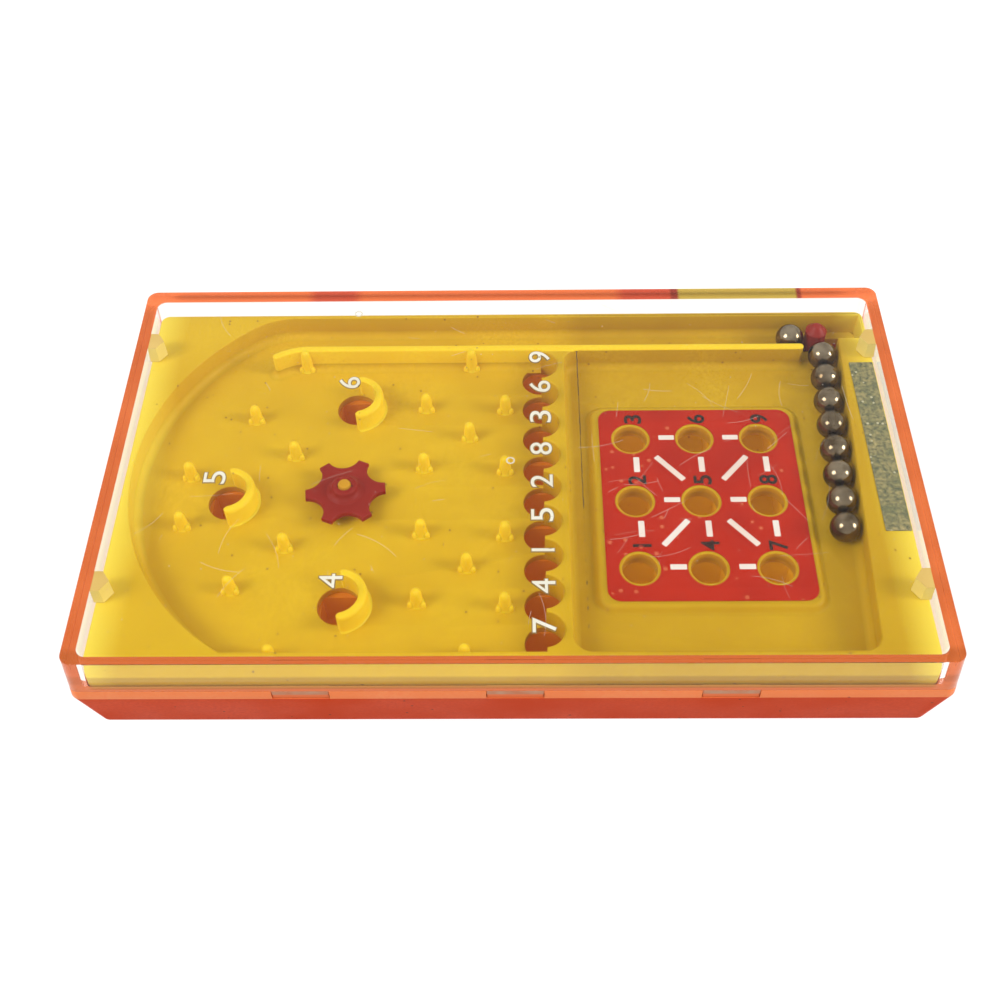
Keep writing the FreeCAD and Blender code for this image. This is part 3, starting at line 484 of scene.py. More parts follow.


# The deck's yellow: painted shade at the right, and painted light in a paler lemon at its short ends.
YELLOW = plastic("yellow_moulding", (0.76, 0.485, 0.013, 1), (0.66, 0.395, 0.008, 1), (0.35, 0.17, 0.02, 1),
                 right=(0.83, 0.80, 0.75, 1), rim=(0.93, 0.72, 0.07, 1))
# A lighter copy of the yellow with a little glow: painted light on the pins, the cups and the divider.
YELLOW_LIT = plastic("yellow_lit", (0.92, 0.66, 0.025, 1), (0.86, 0.58, 0.018, 1), (0.6, 0.4, 0.05, 1),
                      roughness=0.3, inside=0.3, glow=0.04)
# A darker copy of the yellow with a faint glow: painted shade on the sides of the holes and on the wheel's
# pin.
YELLOW_SHADED = plastic("yellow_shaded", (0.66, 0.345, 0.018, 1), (0.56, 0.265, 0.012, 1), (0.3, 0.12, 0.02, 1),
                      roughness=0.5, glow=0.04)
ORANGE = plastic("orange_moulding", (0.86, 0.215, 0.072, 1), (0.76, 0.165, 0.052, 1), (0.3, 0.05, 0.02, 1))
# A darker copy of the orange: painted shade on the case's downward faces and on the notch ends.
ORANGE_SHADED = plastic("orange_shaded", (0.80, 0.085, 0.018, 1), (0.70, 0.065, 0.014, 1), (0.3, 0.05, 0.02, 1),
                      gloss=0.03)
# A lighter copy of the orange with a little glow: painted light on the near lip.
ORANGE_LIT_LIP = plastic("orange_lit_lip", (0.97, 0.275, 0.088, 1), (0.92, 0.235, 0.070, 1), (0.4, 0.08, 0.03, 1),
                     glow=0.09)
# The case's inside, seen through the holes: painted light, a strong glow and a brighter tone at the right,
# standing in for light through the yellow deck.
ORANGE_INSIDE_GLOW = plastic("orange_inside_glow", (0.66, 0.215, 0.010, 1), (0.56, 0.160, 0.007, 1),
                        (0.4, 0.1, 0.02, 1), roughness=0.5, inside=0.0, gloss=0.03, glow=0.22,
                        right=(1.15, 2.0, 0.9, 1))
RED = plastic("red_moulding", (0.345, 0.021, 0.010, 1), (0.27, 0.014, 0.007, 1), (0.1, 0.02, 0.02, 1),
              roughness=0.28)
print("plastics:", [material.name for material in bpy.data.materials])

# %% [markdown]
# The play deck is one moulding. Its rim, the long divider beside the lane and the strip with the nine
# scalloped pockets are one outline with one hole: the hole is the whole room in which balls run.
# So the outline goes up the scalloped strip, along the divider and round its bent tip, back along the
# lane side, round the tray and the slanted trough, and home over the lane and the great arc.

# %% The room of the balls
ARC_X, ARC_Y, ARC_RADIUS, BLEND_RADIUS = -19.8, 0.7, 37.1, 11.0
FIELD_NEAR, LANE_FAR, LANE_END = -30.7, 32.6, 57.2
DIVIDER_NEAR, DIVIDER_THICK, DIVIDER_START, DIVIDER_END = 25.1, 1.2, -32.6, 47.3
BEND_RADIUS, BEND_ANGLE = 9.6, 33.0
STRIP_LEFT, TRAY_LEFT, TRAY_CORNER = 4.95, 8.6, 2.5
TROUGH_FAR, TROUGH_NEAR, BLOCK_FACE = 53.0, 50.2, 27.45
POCKET_X, POCKET_RADIUS, POCKET_STEP = 4.7, 2.76, 6.15
POCKET_YS = [21.95 - POCKET_STEP * index for index in range(9)]


def room_outline():
    """The room of the balls, from the near end of the strip and round."""
    half = DIVIDER_THICK / 2
    middle = DIVIDER_NEAR + half
    scallop = math.degrees(math.acos((STRIP_LEFT - POCKET_X) / POCKET_RADIUS))
    points = [(STRIP_LEFT, FIELD_NEAR)]
    for y in reversed(POCKET_YS):
        points += arc(POCKET_X, y, POCKET_RADIUS, -scallop, scallop, 24)
    points.append((STRIP_LEFT, DIVIDER_NEAR))
    centre = (DIVIDER_START, middle - BEND_RADIUS)
    points += arc(*centre, BEND_RADIUS - half, 90, 90 + BEND_ANGLE)
    tip = math.radians(90 + BEND_ANGLE)
    tip_x = centre[0] + BEND_RADIUS * math.cos(tip)
    tip_y = centre[1] + BEND_RADIUS * math.sin(tip)
    points += arc(tip_x, tip_y, half, 270 + BEND_ANGLE, 90 + BEND_ANGLE, 8)[1:-1]
    points += arc(*centre, BEND_RADIUS + half, 90 + BEND_ANGLE, 90)
    points += arc(DIVIDER_END - half, middle, half, 90, -90, 8)
    points += arc(TRAY_LEFT + TRAY_CORNER, DIVIDER_NEAR - TRAY_CORNER, TRAY_CORNER, 90, 180)
    points += arc(TRAY_LEFT + TRAY_CORNER, FIELD_NEAR + TRAY_CORNER, TRAY_CORNER, 180, 270)
    points += arc(TROUGH_NEAR - TRAY_CORNER, FIELD_NEAR + TRAY_CORNER, TRAY_CORNER, 270, 357)
    slope = (TROUGH_FAR - TROUGH_NEAR) / (DIVIDER_NEAR - FIELD_NEAR)
    points.append((TROUGH_FAR + slope * (BLOCK_FACE - DIVIDER_NEAR), BLOCK_FACE))
    points += [(LANE_END, BLOCK_FACE), (LANE_END, LANE_FAR)]
    blend_y = LANE_FAR - BLEND_RADIUS
    blend_x = ARC_X - math.sqrt((ARC_RADIUS - BLEND_RADIUS) ** 2 - (blend_y - ARC_Y) ** 2)
    meet = math.degrees(math.atan2(blend_y - ARC_Y, blend_x - ARC_X))
    points += arc(blend_x, blend_y, BLEND_RADIUS, 90, meet, 16)
    last = 180 + math.degrees(math.asin((ARC_Y - FIELD_NEAR) / ARC_RADIUS))
    points += arc(ARC_X, ARC_Y, ARC_RADIUS, meet, last, 72)[1:]
    return points


ROOM = room_outline()
print("the room has", len(ROOM), "points")

# %% [markdown]
# The deck is three plates: the rim with the room cut out, the floor with its holes, and the raised pad under
# the label. The sides of the holes get painted shade, and the top and face of the thin divider a painted
# highlight, in finishes of their own.

# %% Rim, floor and pad
DECK_LEFT, DECK_RIGHT, DECK_CORNER = deck_low.x, deck_high.x, 1.4
DECK_NEAR, DECK_FAR = deck_low.y, deck_high.y
RIM_EDGE, FLOOR_EDGE, FLOOR_INSET = 0.25, 0.12, 0.5
PAD_FOOT, PAD_CORNER, PAD_LEVEL, PAD_BELOW = (12.1, 45.0, -22.3, 15.9), 2.6, 9.45, 0.6
STRIKER_SLOT = [(48.3, 28.35), (56.95, 28.35), (56.95, 31.15), (48.3, 31.15)]
COLUMNS, ROWS, HOLE_RADIUS = [18.6, 28.5, 38.4], [8.85, -3.25, -15.35], 2.58
CUPS, CUP_INNER, CUP_WALL, CUP_HIGH = [(-24.5, 16.1), (-42.6, -2.4), (-24.5, -20.9)], 3.1, 1.3, 3.4
HOLES = [(x, y) for x in COLUMNS for y in ROWS]
WELLS = [(POCKET_X, y, POCKET_RADIUS) for y in POCKET_YS] + [(x, y, CUP_INNER) for x, y in CUPS]
WELLS += [(x, y, HOLE_RADIUS) for x, y in HOLES]
# The deck's second finish is the yellow in painted light, the third the yellow in painted shade.
DECK_FINISHES, LIT_FACES, SHADED_FACES = (YELLOW, YELLOW_LIT, YELLOW_SHADED), 1, 2


def in_well(place, normal):
    """Whether a face is the side of a hole."""
    return abs(normal.z) < 0.7 and any(
        abs(math.hypot(place.x - x, place.y - y) - radius) < 0.25 for x, y, radius in WELLS)


def on_divider(place, normal):
    """Whether a face is the divider's top or its face to the field: these get a painted highlight."""
    low = DIVIDER_NEAR - 0.3 if place.x > DIVIDER_START else DIVIDER_NEAR - 2.5
    on_top = place.z > RIM_LEVEL - 0.3
    facing = normal.y < -0.3 and place.x < STRIP_LEFT and place.z > PLAY_LEVEL
    return (on_top or facing) and -39 < place.x < DIVIDER_END and low < place.y < DIVIDER_NEAR + 1.5


def make_deck_plates():
    """Rim with the room cut out, floor with its holes, and the raised pad under the label."""
    outside = rounded(DECK_LEFT, DECK_RIGHT, DECK_NEAR, DECK_FAR, DECK_CORNER)
    rim = plate([outside, ROOM], deck_low.z, RIM_LEVEL, RIM_EDGE)
    inside = rounded(DECK_LEFT + FLOOR_INSET, DECK_RIGHT - FLOOR_INSET, DECK_NEAR + FLOOR_INSET,
                     DECK_FAR - FLOOR_INSET, DECK_CORNER)
    wells = [circle(*well) for well in WELLS]
    floor = plate([inside, *wells, STRIKER_SLOT], deck_low.z, PLAY_LEVEL, FLOOR_EDGE)
    left, right, near, far = PAD_FOOT
    top = rounded(left + 1, right - 1, near + 1, far - 1, PAD_CORNER - 1)
    holes = [circle(x, y, HOLE_RADIUS) for x, y in HOLES]
    pad = plate([top, *holes], PLAY_LEVEL - PAD_BELOW, PAD_LEVEL, FLOOR_EDGE)
    # The sides of the holes get painted shade, and the divider a painted highlight.
    for sheet in (floor, pad):
        tinted(sheet, SHADED_FACES, in_well)
    tinted(rim, LIT_FACES, on_divider)
    return [rim, floor, pad]


print("holes through the floor:", len(WELLS))

# %% [markdown]
# The pad's shoulder is round and its foot hollow, as moulds leave them, and the same hollow fillet runs
# where the walls meet the floor. The shoulder is rings round the pad, and the fillet is a swept section.

# %% Shoulder and coves
PAD_SECTION = [(-1.5, 8.4), (-1.5, 9.43), (-1.45, 9.455), (-0.95, 9.455), (-0.75, 9.43), (-0.55, 9.33),
               (-0.35, 9.16), (-0.17, 8.92), (0.0, 8.7), (0.18, 8.57), (0.42, 8.51), (0.42, 8.4)]
COVE, COVE_ROOT, COVE_START, COVE_GAP = 1.2, 0.15, 48.0, 0.02


def make_pad_slope():
    """The pad's round shoulder and its hollow foot: rings round the pad, from the top inwards and down."""
    left, right, near, far = PAD_FOOT
    work = bmesh.new()
    rings = []
    for out, level in PAD_SECTION:
        ring = rounded(left - out, right + out, near - out, far + out, PAD_CORNER + out)
        rings.append([work.verts.new((x, y, level)) for x, y in ring])
    skin(work, rings + rings[:1])
    return to_mesh(work)


def spaced(points):
    """Leaves out points that lie on the one before."""
    kept = [points[0]]
    for point in points[1:]:
        if math.dist(point, kept[-1]) > COVE_GAP:
            kept.append(point)
    return kept


def make_coves():
    """The hollow fillet at the foot of the walls, except along the pockets and where the striker slides."""
    turns = [math.radians(15 * step) for step in range(7)]
    section = [(-COVE_ROOT, COVE)]
    section += [(COVE * (1 - math.cos(turn)), COVE * (1 - math.sin(turn))) for turn in turns]
    section += [(COVE, -COVE_ROOT), (-COVE_ROOT, -COVE_ROOT)]
    first = ROOM.index((STRIP_LEFT, DIVIDER_NEAR))
    end = ROOM.index((LANE_END, BLOCK_FACE))
    runs = [ROOM[first:end], [(COVE_START, LANE_FAR)] + ROOM[end + 2:] + [(STRIP_LEFT - 2, FIELD_NEAR)]]
    return joined([swept(spaced(run), section, PLAY_LEVEL) for run in runs])


print("the fillet's radius is", COVE, "mm")

# %% [markdown]
# Pins are small drafted posts with a flared foot and a rounded point. Each has three blunt nubs at its
# foot. The posts at the divider are as high as it is, and the nub that would be in the wall is left out.

# %% Pins
PIN_PROFILE = [(1.15, -0.2), (1.15, 0.0), (1.0, 0.15), (0.95, 0.5), (0.90, 1.1), (0.82, 2.2),
               (0.75, 2.7), (0.58, 3.1), (0.32, 3.34), (0, 3.4)]
PIN_FOOT, WALL_PIN_HIGH, PIN_STEPS = 0.5, 4.15, 24
NUB_PROFILE = [(0.52, -0.2), (0.5, 0.15), (0.46, 0.5), (0.36, 0.75), (0.2, 0.9), (0, 0.95)]
NUB_OUT, NUB_TURNS, NUB_STEPS = 0.98, (-150, -30, 90), 12
PIN_PAIRS = [(-40.3, 16.05), (-33.3, 8.65), (-49.0, 4.7), (-13.4, 18.3), (-6.4, 12.3), (-13.3, 6.2)]
PIN_MIDDLE, POCKET_PIN_X, POCKET_PINS = -2.1, -0.85, (1, 3, 5, 7)
WALL_PIN_XS, WALL_PIN_YS = (-33.3, -6.35), (25.05, -29.45)


def pin_places():
    """Pairs of pins either side of a middle line, four at the pockets and four at the walls."""
    places = [(x, PIN_MIDDLE + side * offset) for x, offset in PIN_PAIRS for side in (1, -1)]
    places += [(POCKET_PIN_X, POCKET_YS[index]) for index in POCKET_PINS]
    places += [(x, y) for x in WALL_PIN_XS for y in WALL_PIN_YS]
    return places


def make_pin(x, y):
    """A round post with blunt nubs at its foot. Posts at the divider reach its top."""
    at_wall = y > DIVIDER_NEAR - 1
    grow = WALL_PIN_HIGH / PIN_PROFILE[-1][1] if at_wall else 1.0
    post = [(radius, height * grow if height > PIN_FOOT else height) for radius, height in PIN_PROFILE]
    parts = [turned(post, (x, y, PLAY_LEVEL), PIN_STEPS)]
    for angle in NUB_TURNS[:2] if at_wall else NUB_TURNS:
        out = math.radians(angle)
        place = (x + NUB_OUT * math.cos(out), y + NUB_OUT * math.sin(out), PLAY_LEVEL)
        parts.append(turned(NUB_PROFILE, place, NUB_STEPS))
    # Pins are in the lit yellow: painted light.
    return [tinted(part, LIT_FACES) for part in parts]


print("pins:", len(pin_places()))

# %% [markdown]
# Cups are half rings of wall, open to the left, with a soft top edge. The section is carried round in
# small steps, and squeezed at both ends of the ring, which makes the ends round.

# %% Cups
CUP_SECTION = [(1.75, -0.2), (1.6, 0.0), (1.2, 0.12), (1.0, 0.45), (1.0, 2.6), (0.93, 3.0), (0.7, 3.3),
               (0.35, CUP_HIGH), (-0.6, CUP_HIGH), (-0.9, 3.3), (-1.0, 3.05), (-1.0, -0.2)]
CUP_STEPS, CUP_SWEEP = 40, 86.0


def make_cup(x, y):
    """A half ring of wall whose section thins to nothing at its round ends."""
    middle, half = CUP_INNER + CUP_WALL / 2, CUP_WALL / 2
    work = bmesh.new()
    rings = []
    for step in range(CUP_STEPS + 1):
        angle = -CUP_SWEEP + 2 * CUP_SWEEP * step / CUP_STEPS
        left = (CUP_SWEEP - abs(angle)) / 180 * math.pi * middle
        share = 1.0 if left >= half else math.sqrt(max(half**2 - (half - left) ** 2, 0.02)) / half
        turn = math.radians(angle)
        ring = []
        for across, height in CUP_SECTION:
            radius = middle + across * half * share
            ring.append(work.verts.new((radius * math.cos(turn), radius * math.sin(turn), height)))
        rings.append(ring)
    closed_skin(work, rings)
    return to_mesh(work, (x, y, PLAY_LEVEL))


print("cups:", len(CUPS))

# %% [markdown]
# The wheel turns on a pin of the deck, which has a boss for the wheel to rest on. At the far side a strip
# of the deck, its sill, closes the case's notch over the thumb tab. Then the moulding is whole.

# %% Wheel's pin, sill and whole deck
star_low, star_high = box_mm("star_wheel")
STAR_X, STAR_Y = (star_low.x + star_high.x) / 2, (star_low.y + star_high.y) / 2
SEAT = star_low.z - PLAY_LEVEL - 0.05
AXLE_PROFILE = [(2.4, -0.2), (2.4, 0.0), (2.05, 0.15), (1.9, 0.5), (1.9, SEAT), (0.97, SEAT), (0.97, 3.75),
                (0.85, 4.0), (0.55, 4.1), (0, 4.1)]
SILL_LEFT, SILL_RIGHT, SILL_LOW, SILL_TOP = 27.9, 47.5, 9.3, 10.55


def make_deck():
    """The yellow moulding: plates, fillets, pins, cups, the wheel's pin and the sill."""
    parts = make_deck_plates() + [make_pad_slope(), make_coves()]
    for x, y in pin_places():
        parts += make_pin(x, y)
    # Cups are in the lit yellow, which is painted light, and the wheel's pin is in the shaded yellow, which
    # is painted shade.
    parts += [tinted(make_cup(x, y), LIT_FACES) for x, y in CUPS]
    parts.append(tinted(turned(AXLE_PROFILE, (STAR_X, STAR_Y, PLAY_LEVEL)), SHADED_FACES))
    sill = rounded(SILL_LEFT, SILL_RIGHT, DECK_FAR - 0.4, case_high.y - 0.3, 0.2)
    parts.append(plate([sill], SILL_LOW, SILL_TOP, 0.15))
    deck = finish_mesh("play_deck_moulding", joined(parts), DECK_FINISHES, "case")
    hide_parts("play_deck", "number_pad")


make_deck()

# %% [markdown]
# The case takes the imported shape with softened edges. What is seen of its inside, through the holes, is
# lit through the yellow deck, so it gets its own warm finish with a painted glow. Its outside is in shade,
# painted darker, and the lip at the near wall catches the light, painted lighter. Two small ends in the
# painted shade fill the notch beside the deck's sill.

# %% Case
CASE_FINISHES, GLOWING_INSIDE, SHADED_SIDE, LIT_LIP = (ORANGE, ORANGE_INSIDE_GLOW, ORANGE_SHADED, ORANGE_LIT_LIP), 1, 2, 3
CASE_EDGE, LIP_DROP = 0.22, 0.02
HOLLOW_LOW, HOLLOW_HIGH, HOLLOW_X, HOLLOW_Y = 0.6, 8.0, 56, 31.5
NOTCH_END, NOTCH_LOW, NOTCH_EDGE = 1.05, 8.9, 0.05


def in_hollow(place, normal):
    """Whether a face is in the hollow under the deck."""
    return HOLLOW_LOW < place.z < HOLLOW_HIGH and abs(place.x) < HOLLOW_X and abs(place.y) < HOLLOW_Y


def make_case():
    """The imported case. Its lip stands a hair lower, so that it doesn't share a plane with the cover."""
    mesh = softened("base_case", CASE_EDGE)
    base = finish_mesh("case_moulding", mesh, CASE_FINISHES, "case", None)
    for corner in mesh.vertices:
        if corner.co.z > case_high.z * MM - 0.005 * MM:
            corner.co.z -= LIP_DROP * MM
    # Downward faces get painted shade, the near lip painted light, and the inside a painted glow.
    tinted(mesh, SHADED_SIDE, lambda place, normal: normal.z < -0.05)
    tinted(mesh, LIT_LIP, lambda place, normal: normal.y < -0.7 and normal.z > 0 and place.y < DECK_NEAR - 1)
    tinted(mesh, GLOWING_INSIDE, in_hollow)
    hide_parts("base_case")


def make_notch_ends():
    """Fill the case's notch on both sides of the deck's sill, in the orange of painted shade."""
    near, far = DECK_FAR + 0.1, case_high.y - 0.35
    ends = [plate([rounded(left, left + NOTCH_END, near, far, 0.1)], NOTCH_LOW, SILL_TOP, NOTCH_EDGE)
            for left in (SILL_LEFT - NOTCH_END, SILL_RIGHT)]
    finish_mesh("notch_ends", joined(ends), ORANGE_SHADED, "case")


make_case()
make_notch_ends()

# %% [markdown]
# The striker is one red moulding: a post in the lane, a bar under the deck and a thumb tab behind the
# case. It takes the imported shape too. The tab slopes down to its far edge, as thumbs have it, and a corner
# of the bar is trimmed where it would rub on the case.

# %% Striker
STRIKER_EDGE, TAB_START, TAB_TOP, TAB_FALL = 0.15, 35.6, 9.6, 0.9
BAR_END, BAR_FAR, TRIM_X, TRIM_Y = 51.2, 31.9, 0.35, 0.2


def make_striker():
    """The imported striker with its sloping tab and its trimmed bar."""
    mesh = softened("striker", STRIKER_EDGE)
    striker = finish_mesh("striker_moulding", mesh, RED, "striker", None)
    for corner in mesh.vertices:
        behind = corner.co.y / MM - TAB_START
        if behind > 0:
            corner.co.z = min(corner.co.z, (TAB_TOP - TAB_FALL * behind) * MM)
        elif corner.co.x / MM > BAR_END and corner.co.y / MM > BAR_FAR:
            corner.co.x -= TRIM_X * MM
            corner.co.y -= TRIM_Y * MM
    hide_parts("striker")


make_striker()

# %% [markdown]
# The wheel has six blunt lobes between round scallops, and a hub. The lobes are an outline: points on
# the outer circle, with arcs cut in between them.

# %% Star wheel
STAR_RADIUS, STAR_NOTCH, STAR_SCALLOP, STAR_LOBES, STAR_TURN = 6.05, 4.3, 2.61, 6, 36.5
STAR_BORE, STAR_THICK, STAR_EDGE, HUB_STEPS = 1.05, 1.0, 0.2, 48
HUB_TOP = star_high.z - star_low.z
HUB_PROFILE = [(1.05, 0.1), (1.05, HUB_TOP), (1.75, HUB_TOP), (1.88, HUB_TOP - 0.1), (1.95, 1.9), (2.1, 1.5),
               (2.45, 1.15), (3.0, 0.95), (3.0, 0.1), (1.05, 0.1)]


def star_outline(x, y):
    """Six lobes between round scallops."""
    reach = STAR_NOTCH + STAR_SCALLOP
    cosine = (reach**2 + STAR_SCALLOP**2 - STAR_RADIUS**2) / (2 * reach * STAR_SCALLOP)
    open_half = math.degrees(math.acos(cosine))
    points = []
    for lobe in range(STAR_LOBES):
        turn = STAR_TURN + 360 / STAR_LOBES * lobe
        centre = math.radians(turn)
        cx, cy = x + reach * math.cos(centre), y + reach * math.sin(centre)
        points += arc(cx, cy, STAR_SCALLOP, turn + 180 + open_half, turn + 180 - open_half, 14)
    return points


def make_star():
    """A flat disc of lobes with the hub turned onto it."""
    loops = [star_outline(STAR_X, STAR_Y), circle(STAR_X, STAR_Y, STAR_BORE)]
    disc = plate(loops, star_low.z, star_low.z + STAR_THICK, STAR_EDGE)
    hub = turned(HUB_PROFILE, (STAR_X, STAR_Y, star_low.z), HUB_STEPS)
    star = finish_mesh("wheel_moulding", joined([disc, hub]), RED, "wheel")
    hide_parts("star_wheel")


make_star()

# %% [markdown]
# The balls are steel shot, polished once and dulled by years of rolling. Metal is almost only what it
# reflects, so the finish is in roughness: smudges, fine scratches and small dark pits. The balls' dark brown
# colour is a painted reflection: it stands in for surroundings darker than the white studio.

# %% Steel
def make_steel(name, colour, roughness):
    """Steel whose colour and roughness drift, with small dark pits."""
    material, tree, shader = new_material(name)
    smudge = placed(tree, DRIFT, Color_A=colour, Color_B=(0.085, 0.055, 0.026, 1), Scale=420.0)
    specks = placed(tree, SPECKS, Scale=1500.0, Size=0.25, Amount=0.16)
    fill(tree, shader, {
        "Base Color": mixed(tree, specks["Mask"], smudge["Color"], (0.08, 0.07, 0.06, 1)),
        "Roughness": ramp(tree, smudge["Mask"], start=roughness, end=roughness + 0.07),
        "Normal": grain(tree, 2500.0, 0.01),
        "Metallic": 1.0,
    })
    return material


# The dark brown of the balls is a painted reflection of darker surroundings.
BALL_STEEL = make_steel("ball_steel", (0.27, 0.215, 0.145, 1), 0.02)
SPRING_STEEL = make_steel("spring_steel", (0.55, 0.55, 0.55, 1), 0.25)
print("steels:", BALL_STEEL.name, SPRING_STEEL.name)

# %% [markdown]
# A ball made from a cube has evenly spread faces, with no poles that would show as bright points. Each is
# turned its own way and has a few thousandths of a millimetre of wear.

# %% Balls
BALL_CUTS, BALL_WEAR, ROUND_SMOOTH = 15, 0.002, 60


def make_ball(name, seed):
    """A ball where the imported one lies."""
    low, high = box_mm(name)
    centre, radius = (low + high) / 2, (high.z - low.z) / 2
    draw = random.Random(seed)
    work = bmesh.new()
    bmesh.ops.create_cube(work, size=2)
    bmesh.ops.subdivide_edges(work, edges=work.edges, cuts=BALL_CUTS, use_grid_fill=True)
    turn = Matrix.Rotation(draw.uniform(0, 3), 3, Vector((draw.random(), draw.random(), 1)).normalized())
    for corner in work.verts:
        corner.co = turn @ corner.co.normalized() * (radius - draw.uniform(0, BALL_WEAR))
    mesh = to_mesh(work, centre)
    ball = finish_mesh(name + "_steel", mesh, BALL_STEEL, name, ROUND_SMOOTH)
    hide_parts(name)


for index in range(1, 10):
    make_ball(f"ball_{index}", index)

# %% [markdown]
# The spring is a round wire on a helix. It sits between the striker's block and the seat in the case. On the
# toy it flattens as the striker is pulled; here it keeps its length and rides on the case.

# %% Spring
COIL_TURNS, COIL_STEPS, COIL_RADIUS, COIL_Y, COIL_Z, WIRE_RADIUS = 5, 24, 1.35, 29.75, 3.3, 0.2


def make_spring():
    """A helix of wire along the striker's slide."""
    low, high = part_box("striker_spring")
    wire, coil, count = WIRE_RADIUS * MM, COIL_RADIUS * MM, COIL_TURNS * COIL_STEPS
    curve = bpy.data.curves.new("coil", "CURVE")
    curve.dimensions = "3D"
    curve.bevel_depth = wire
    curve.bevel_resolution = 3
    curve.use_fill_caps = True
    spline = curve.splines.new("POLY")
    spline.points.add(count)
    for index, point in enumerate(spline.points):
        turn = 2 * math.pi * index / COIL_STEPS
        x = low.x + wire + (high.x - low.x - 2 * wire) * index / count
        point.co = (x, COIL_Y * MM + coil * math.cos(turn), COIL_Z * MM + coil * math.sin(turn), 1)
    spring = finish_mesh("spring_wire", mesh_of(curve), SPRING_STEEL, "case", ROUND_SMOOTH)
    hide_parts("striker_spring")
    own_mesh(spring)


make_spring()

# %% [markdown]
# Printed card, paint and wear are thin coats that lie on something. They are less glossy than the
# mouldings, and one function makes their finishes. Some are worn so thin that what lies under them shows.

# %% Printed and painted coats
def make_card(name, colour, deep, dirt, roughness, cover=1.0):
    """A coat: a drifting colour with specks of dirt, as thick as its cover says."""
    material, tree, shader = new_material(name)
    base = placed(tree, DRIFT, Color_A=colour, Color_B=deep, Scale=140.0)
    specks = placed(tree, SPECKS, Scale=900.0, Size=0.3, Amount=0.1)
    fill(tree, shader, {
        "Base Color": mixed(tree, specks["Mask"], base["Color"], dirt),
        "Roughness": roughness,
        "Specular IOR Level": 0.15,
        "Normal": grain(tree, 1800.0, 0.015),
        "Alpha": cover,
    })
    return material


LABEL_RED = make_card("label_red", (0.50, 0.019, 0.003, 1), (0.42, 0.013, 0.002, 1), (0.6, 0.12, 0.05, 1),
                      0.4)
PRINT_WHITE = make_card("print_white", (0.86, 0.78, 0.72, 1), (0.8, 0.64, 0.56, 1), (0.6, 0.1, 0.05, 1), 0.5)
PAINT_WHITE = make_card("paint_white", (0.86, 0.83, 0.74, 1), (0.76, 0.72, 0.60, 1), (0.5, 0.42, 0.25, 1),
                        0.45)
# The dark edge of the cover's numbers: bled paint and a painted shadow.
NUMBER_BLEED_SHADOW = make_card("number_bleed_shadow", (0.34, 0.22, 0.07, 1), (0.45, 0.30, 0.10, 1), (0.2, 0.12, 0.04, 1),
                        0.5, 0.6)
PRINT_BLACK = make_card("print_black", (0.03, 0.02, 0.018, 1), (0.06, 0.02, 0.015, 1), (0.3, 0.03, 0.02, 1),
                        0.5)
PALE_WEAR = make_card("pale_wear", (0.88, 0.84, 0.74, 1), (0.80, 0.76, 0.66, 1), (0.6, 0.5, 0.3, 1),
                      0.6, 0.55)
DARK_WEAR = make_card("dark_wear", (0.10, 0.06, 0.02, 1), (0.18, 0.11, 0.04, 1), (0.05, 0.03, 0.02, 1), 0.6)
# The lugs' faces and feet: a lit and a shaded copy, painted light and painted shade.
LUG_LIT = make_card("lug_lit", (0.93, 0.78, 0.25, 1), (0.86, 0.68, 0.18, 1), (0.8, 0.6, 0.3, 1), 0.3)
LUG_SHADE = make_card("lug_shade", (0.72, 0.49, 0.15, 1), (0.64, 0.42, 0.11, 1), (0.5, 0.35, 0.1, 1), 0.4)
print("finishes so far:", len(bpy.data.materials))

# %% [markdown]
# The number label is printed card under a thin film: red, with white dashes from hole to hole and black
# numbers. The card is an outline with nine holes, a little wider than those of the pad.

# %% Label
label_low, label_high = box_mm("number_label")
LABEL_TOP = label_high.z
LABEL_EDGES, LABEL_CORNER, LABEL_HOLE, LABEL_ROUND = (13.75, 43.75, -20.9, 14.7), 2.0, 3.0, 0.04

holes = [circle(x, y, LABEL_HOLE) for x, y in HOLES]
sheet = plate([rounded(*LABEL_EDGES, LABEL_CORNER), *holes], label_low.z, LABEL_TOP, LABEL_ROUND)
label = finish_mesh("number_label_card", sheet, LABEL_RED, "case")
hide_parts("number_label")

# %% [markdown]
# The print is thin flat pieces a few hundredths of a millimetre over the card, so that it stays crisp from
# every side. The dashes run from hole to hole: along the rows, along the columns and across.

# %% Dashes
DASH_LONG, DASH_TALL, DASH_CROSS, DASH_WIDE, CROSS_TURN = 2.4, 2.9, 6.0, 0.9, 49
PRINT_THICK = 0.02


def dash(x, y, long, turn):
    """A thin bar with slightly rounded corners."""
    outline = rounded(-long / 2, long / 2, -DASH_WIDE / 2, DASH_WIDE / 2, 0.12)
    bar = plate([outline], LABEL_TOP, LABEL_TOP + PRINT_THICK, 0.005)
    bar.transform(Matrix.Translation((x * MM, y * MM, 0)) @ Matrix.Rotation(math.radians(turn), 4, "Z"))
    return bar


def make_dashes():
    """All dashes, each moved a little off the middle, as the print is."""
    bars = []
    for row in ROWS:
        for left, right in zip(COLUMNS, COLUMNS[1:]):
            bars.append(dash((left + right) / 2 + 0.6, row + 0.2, DASH_LONG, 0))
    for column in COLUMNS:
        for far, near in zip(ROWS, ROWS[1:]):
            bars.append(dash(column + 0.65, (far + near) / 2 + 0.9, DASH_TALL, 90))
    for column in (0, 1):
        for row in (0, 1):
            x = (COLUMNS[column] + COLUMNS[column + 1]) / 2 + 0.7
            y = (ROWS[row] + ROWS[row + 1]) / 2 + 0.2
            bars.append(dash(x, y, DASH_CROSS, -CROSS_TURN if column == row else CROSS_TURN))
    finish_mesh("label_dashes", joined(bars), PRINT_WHITE, "case")


make_dashes()

# %% [markdown]
# Numbers are text in Blender's own type, turned a quarter so that their tops point left, then made into
# meshes and stretched to the height and width that they have on the toy.

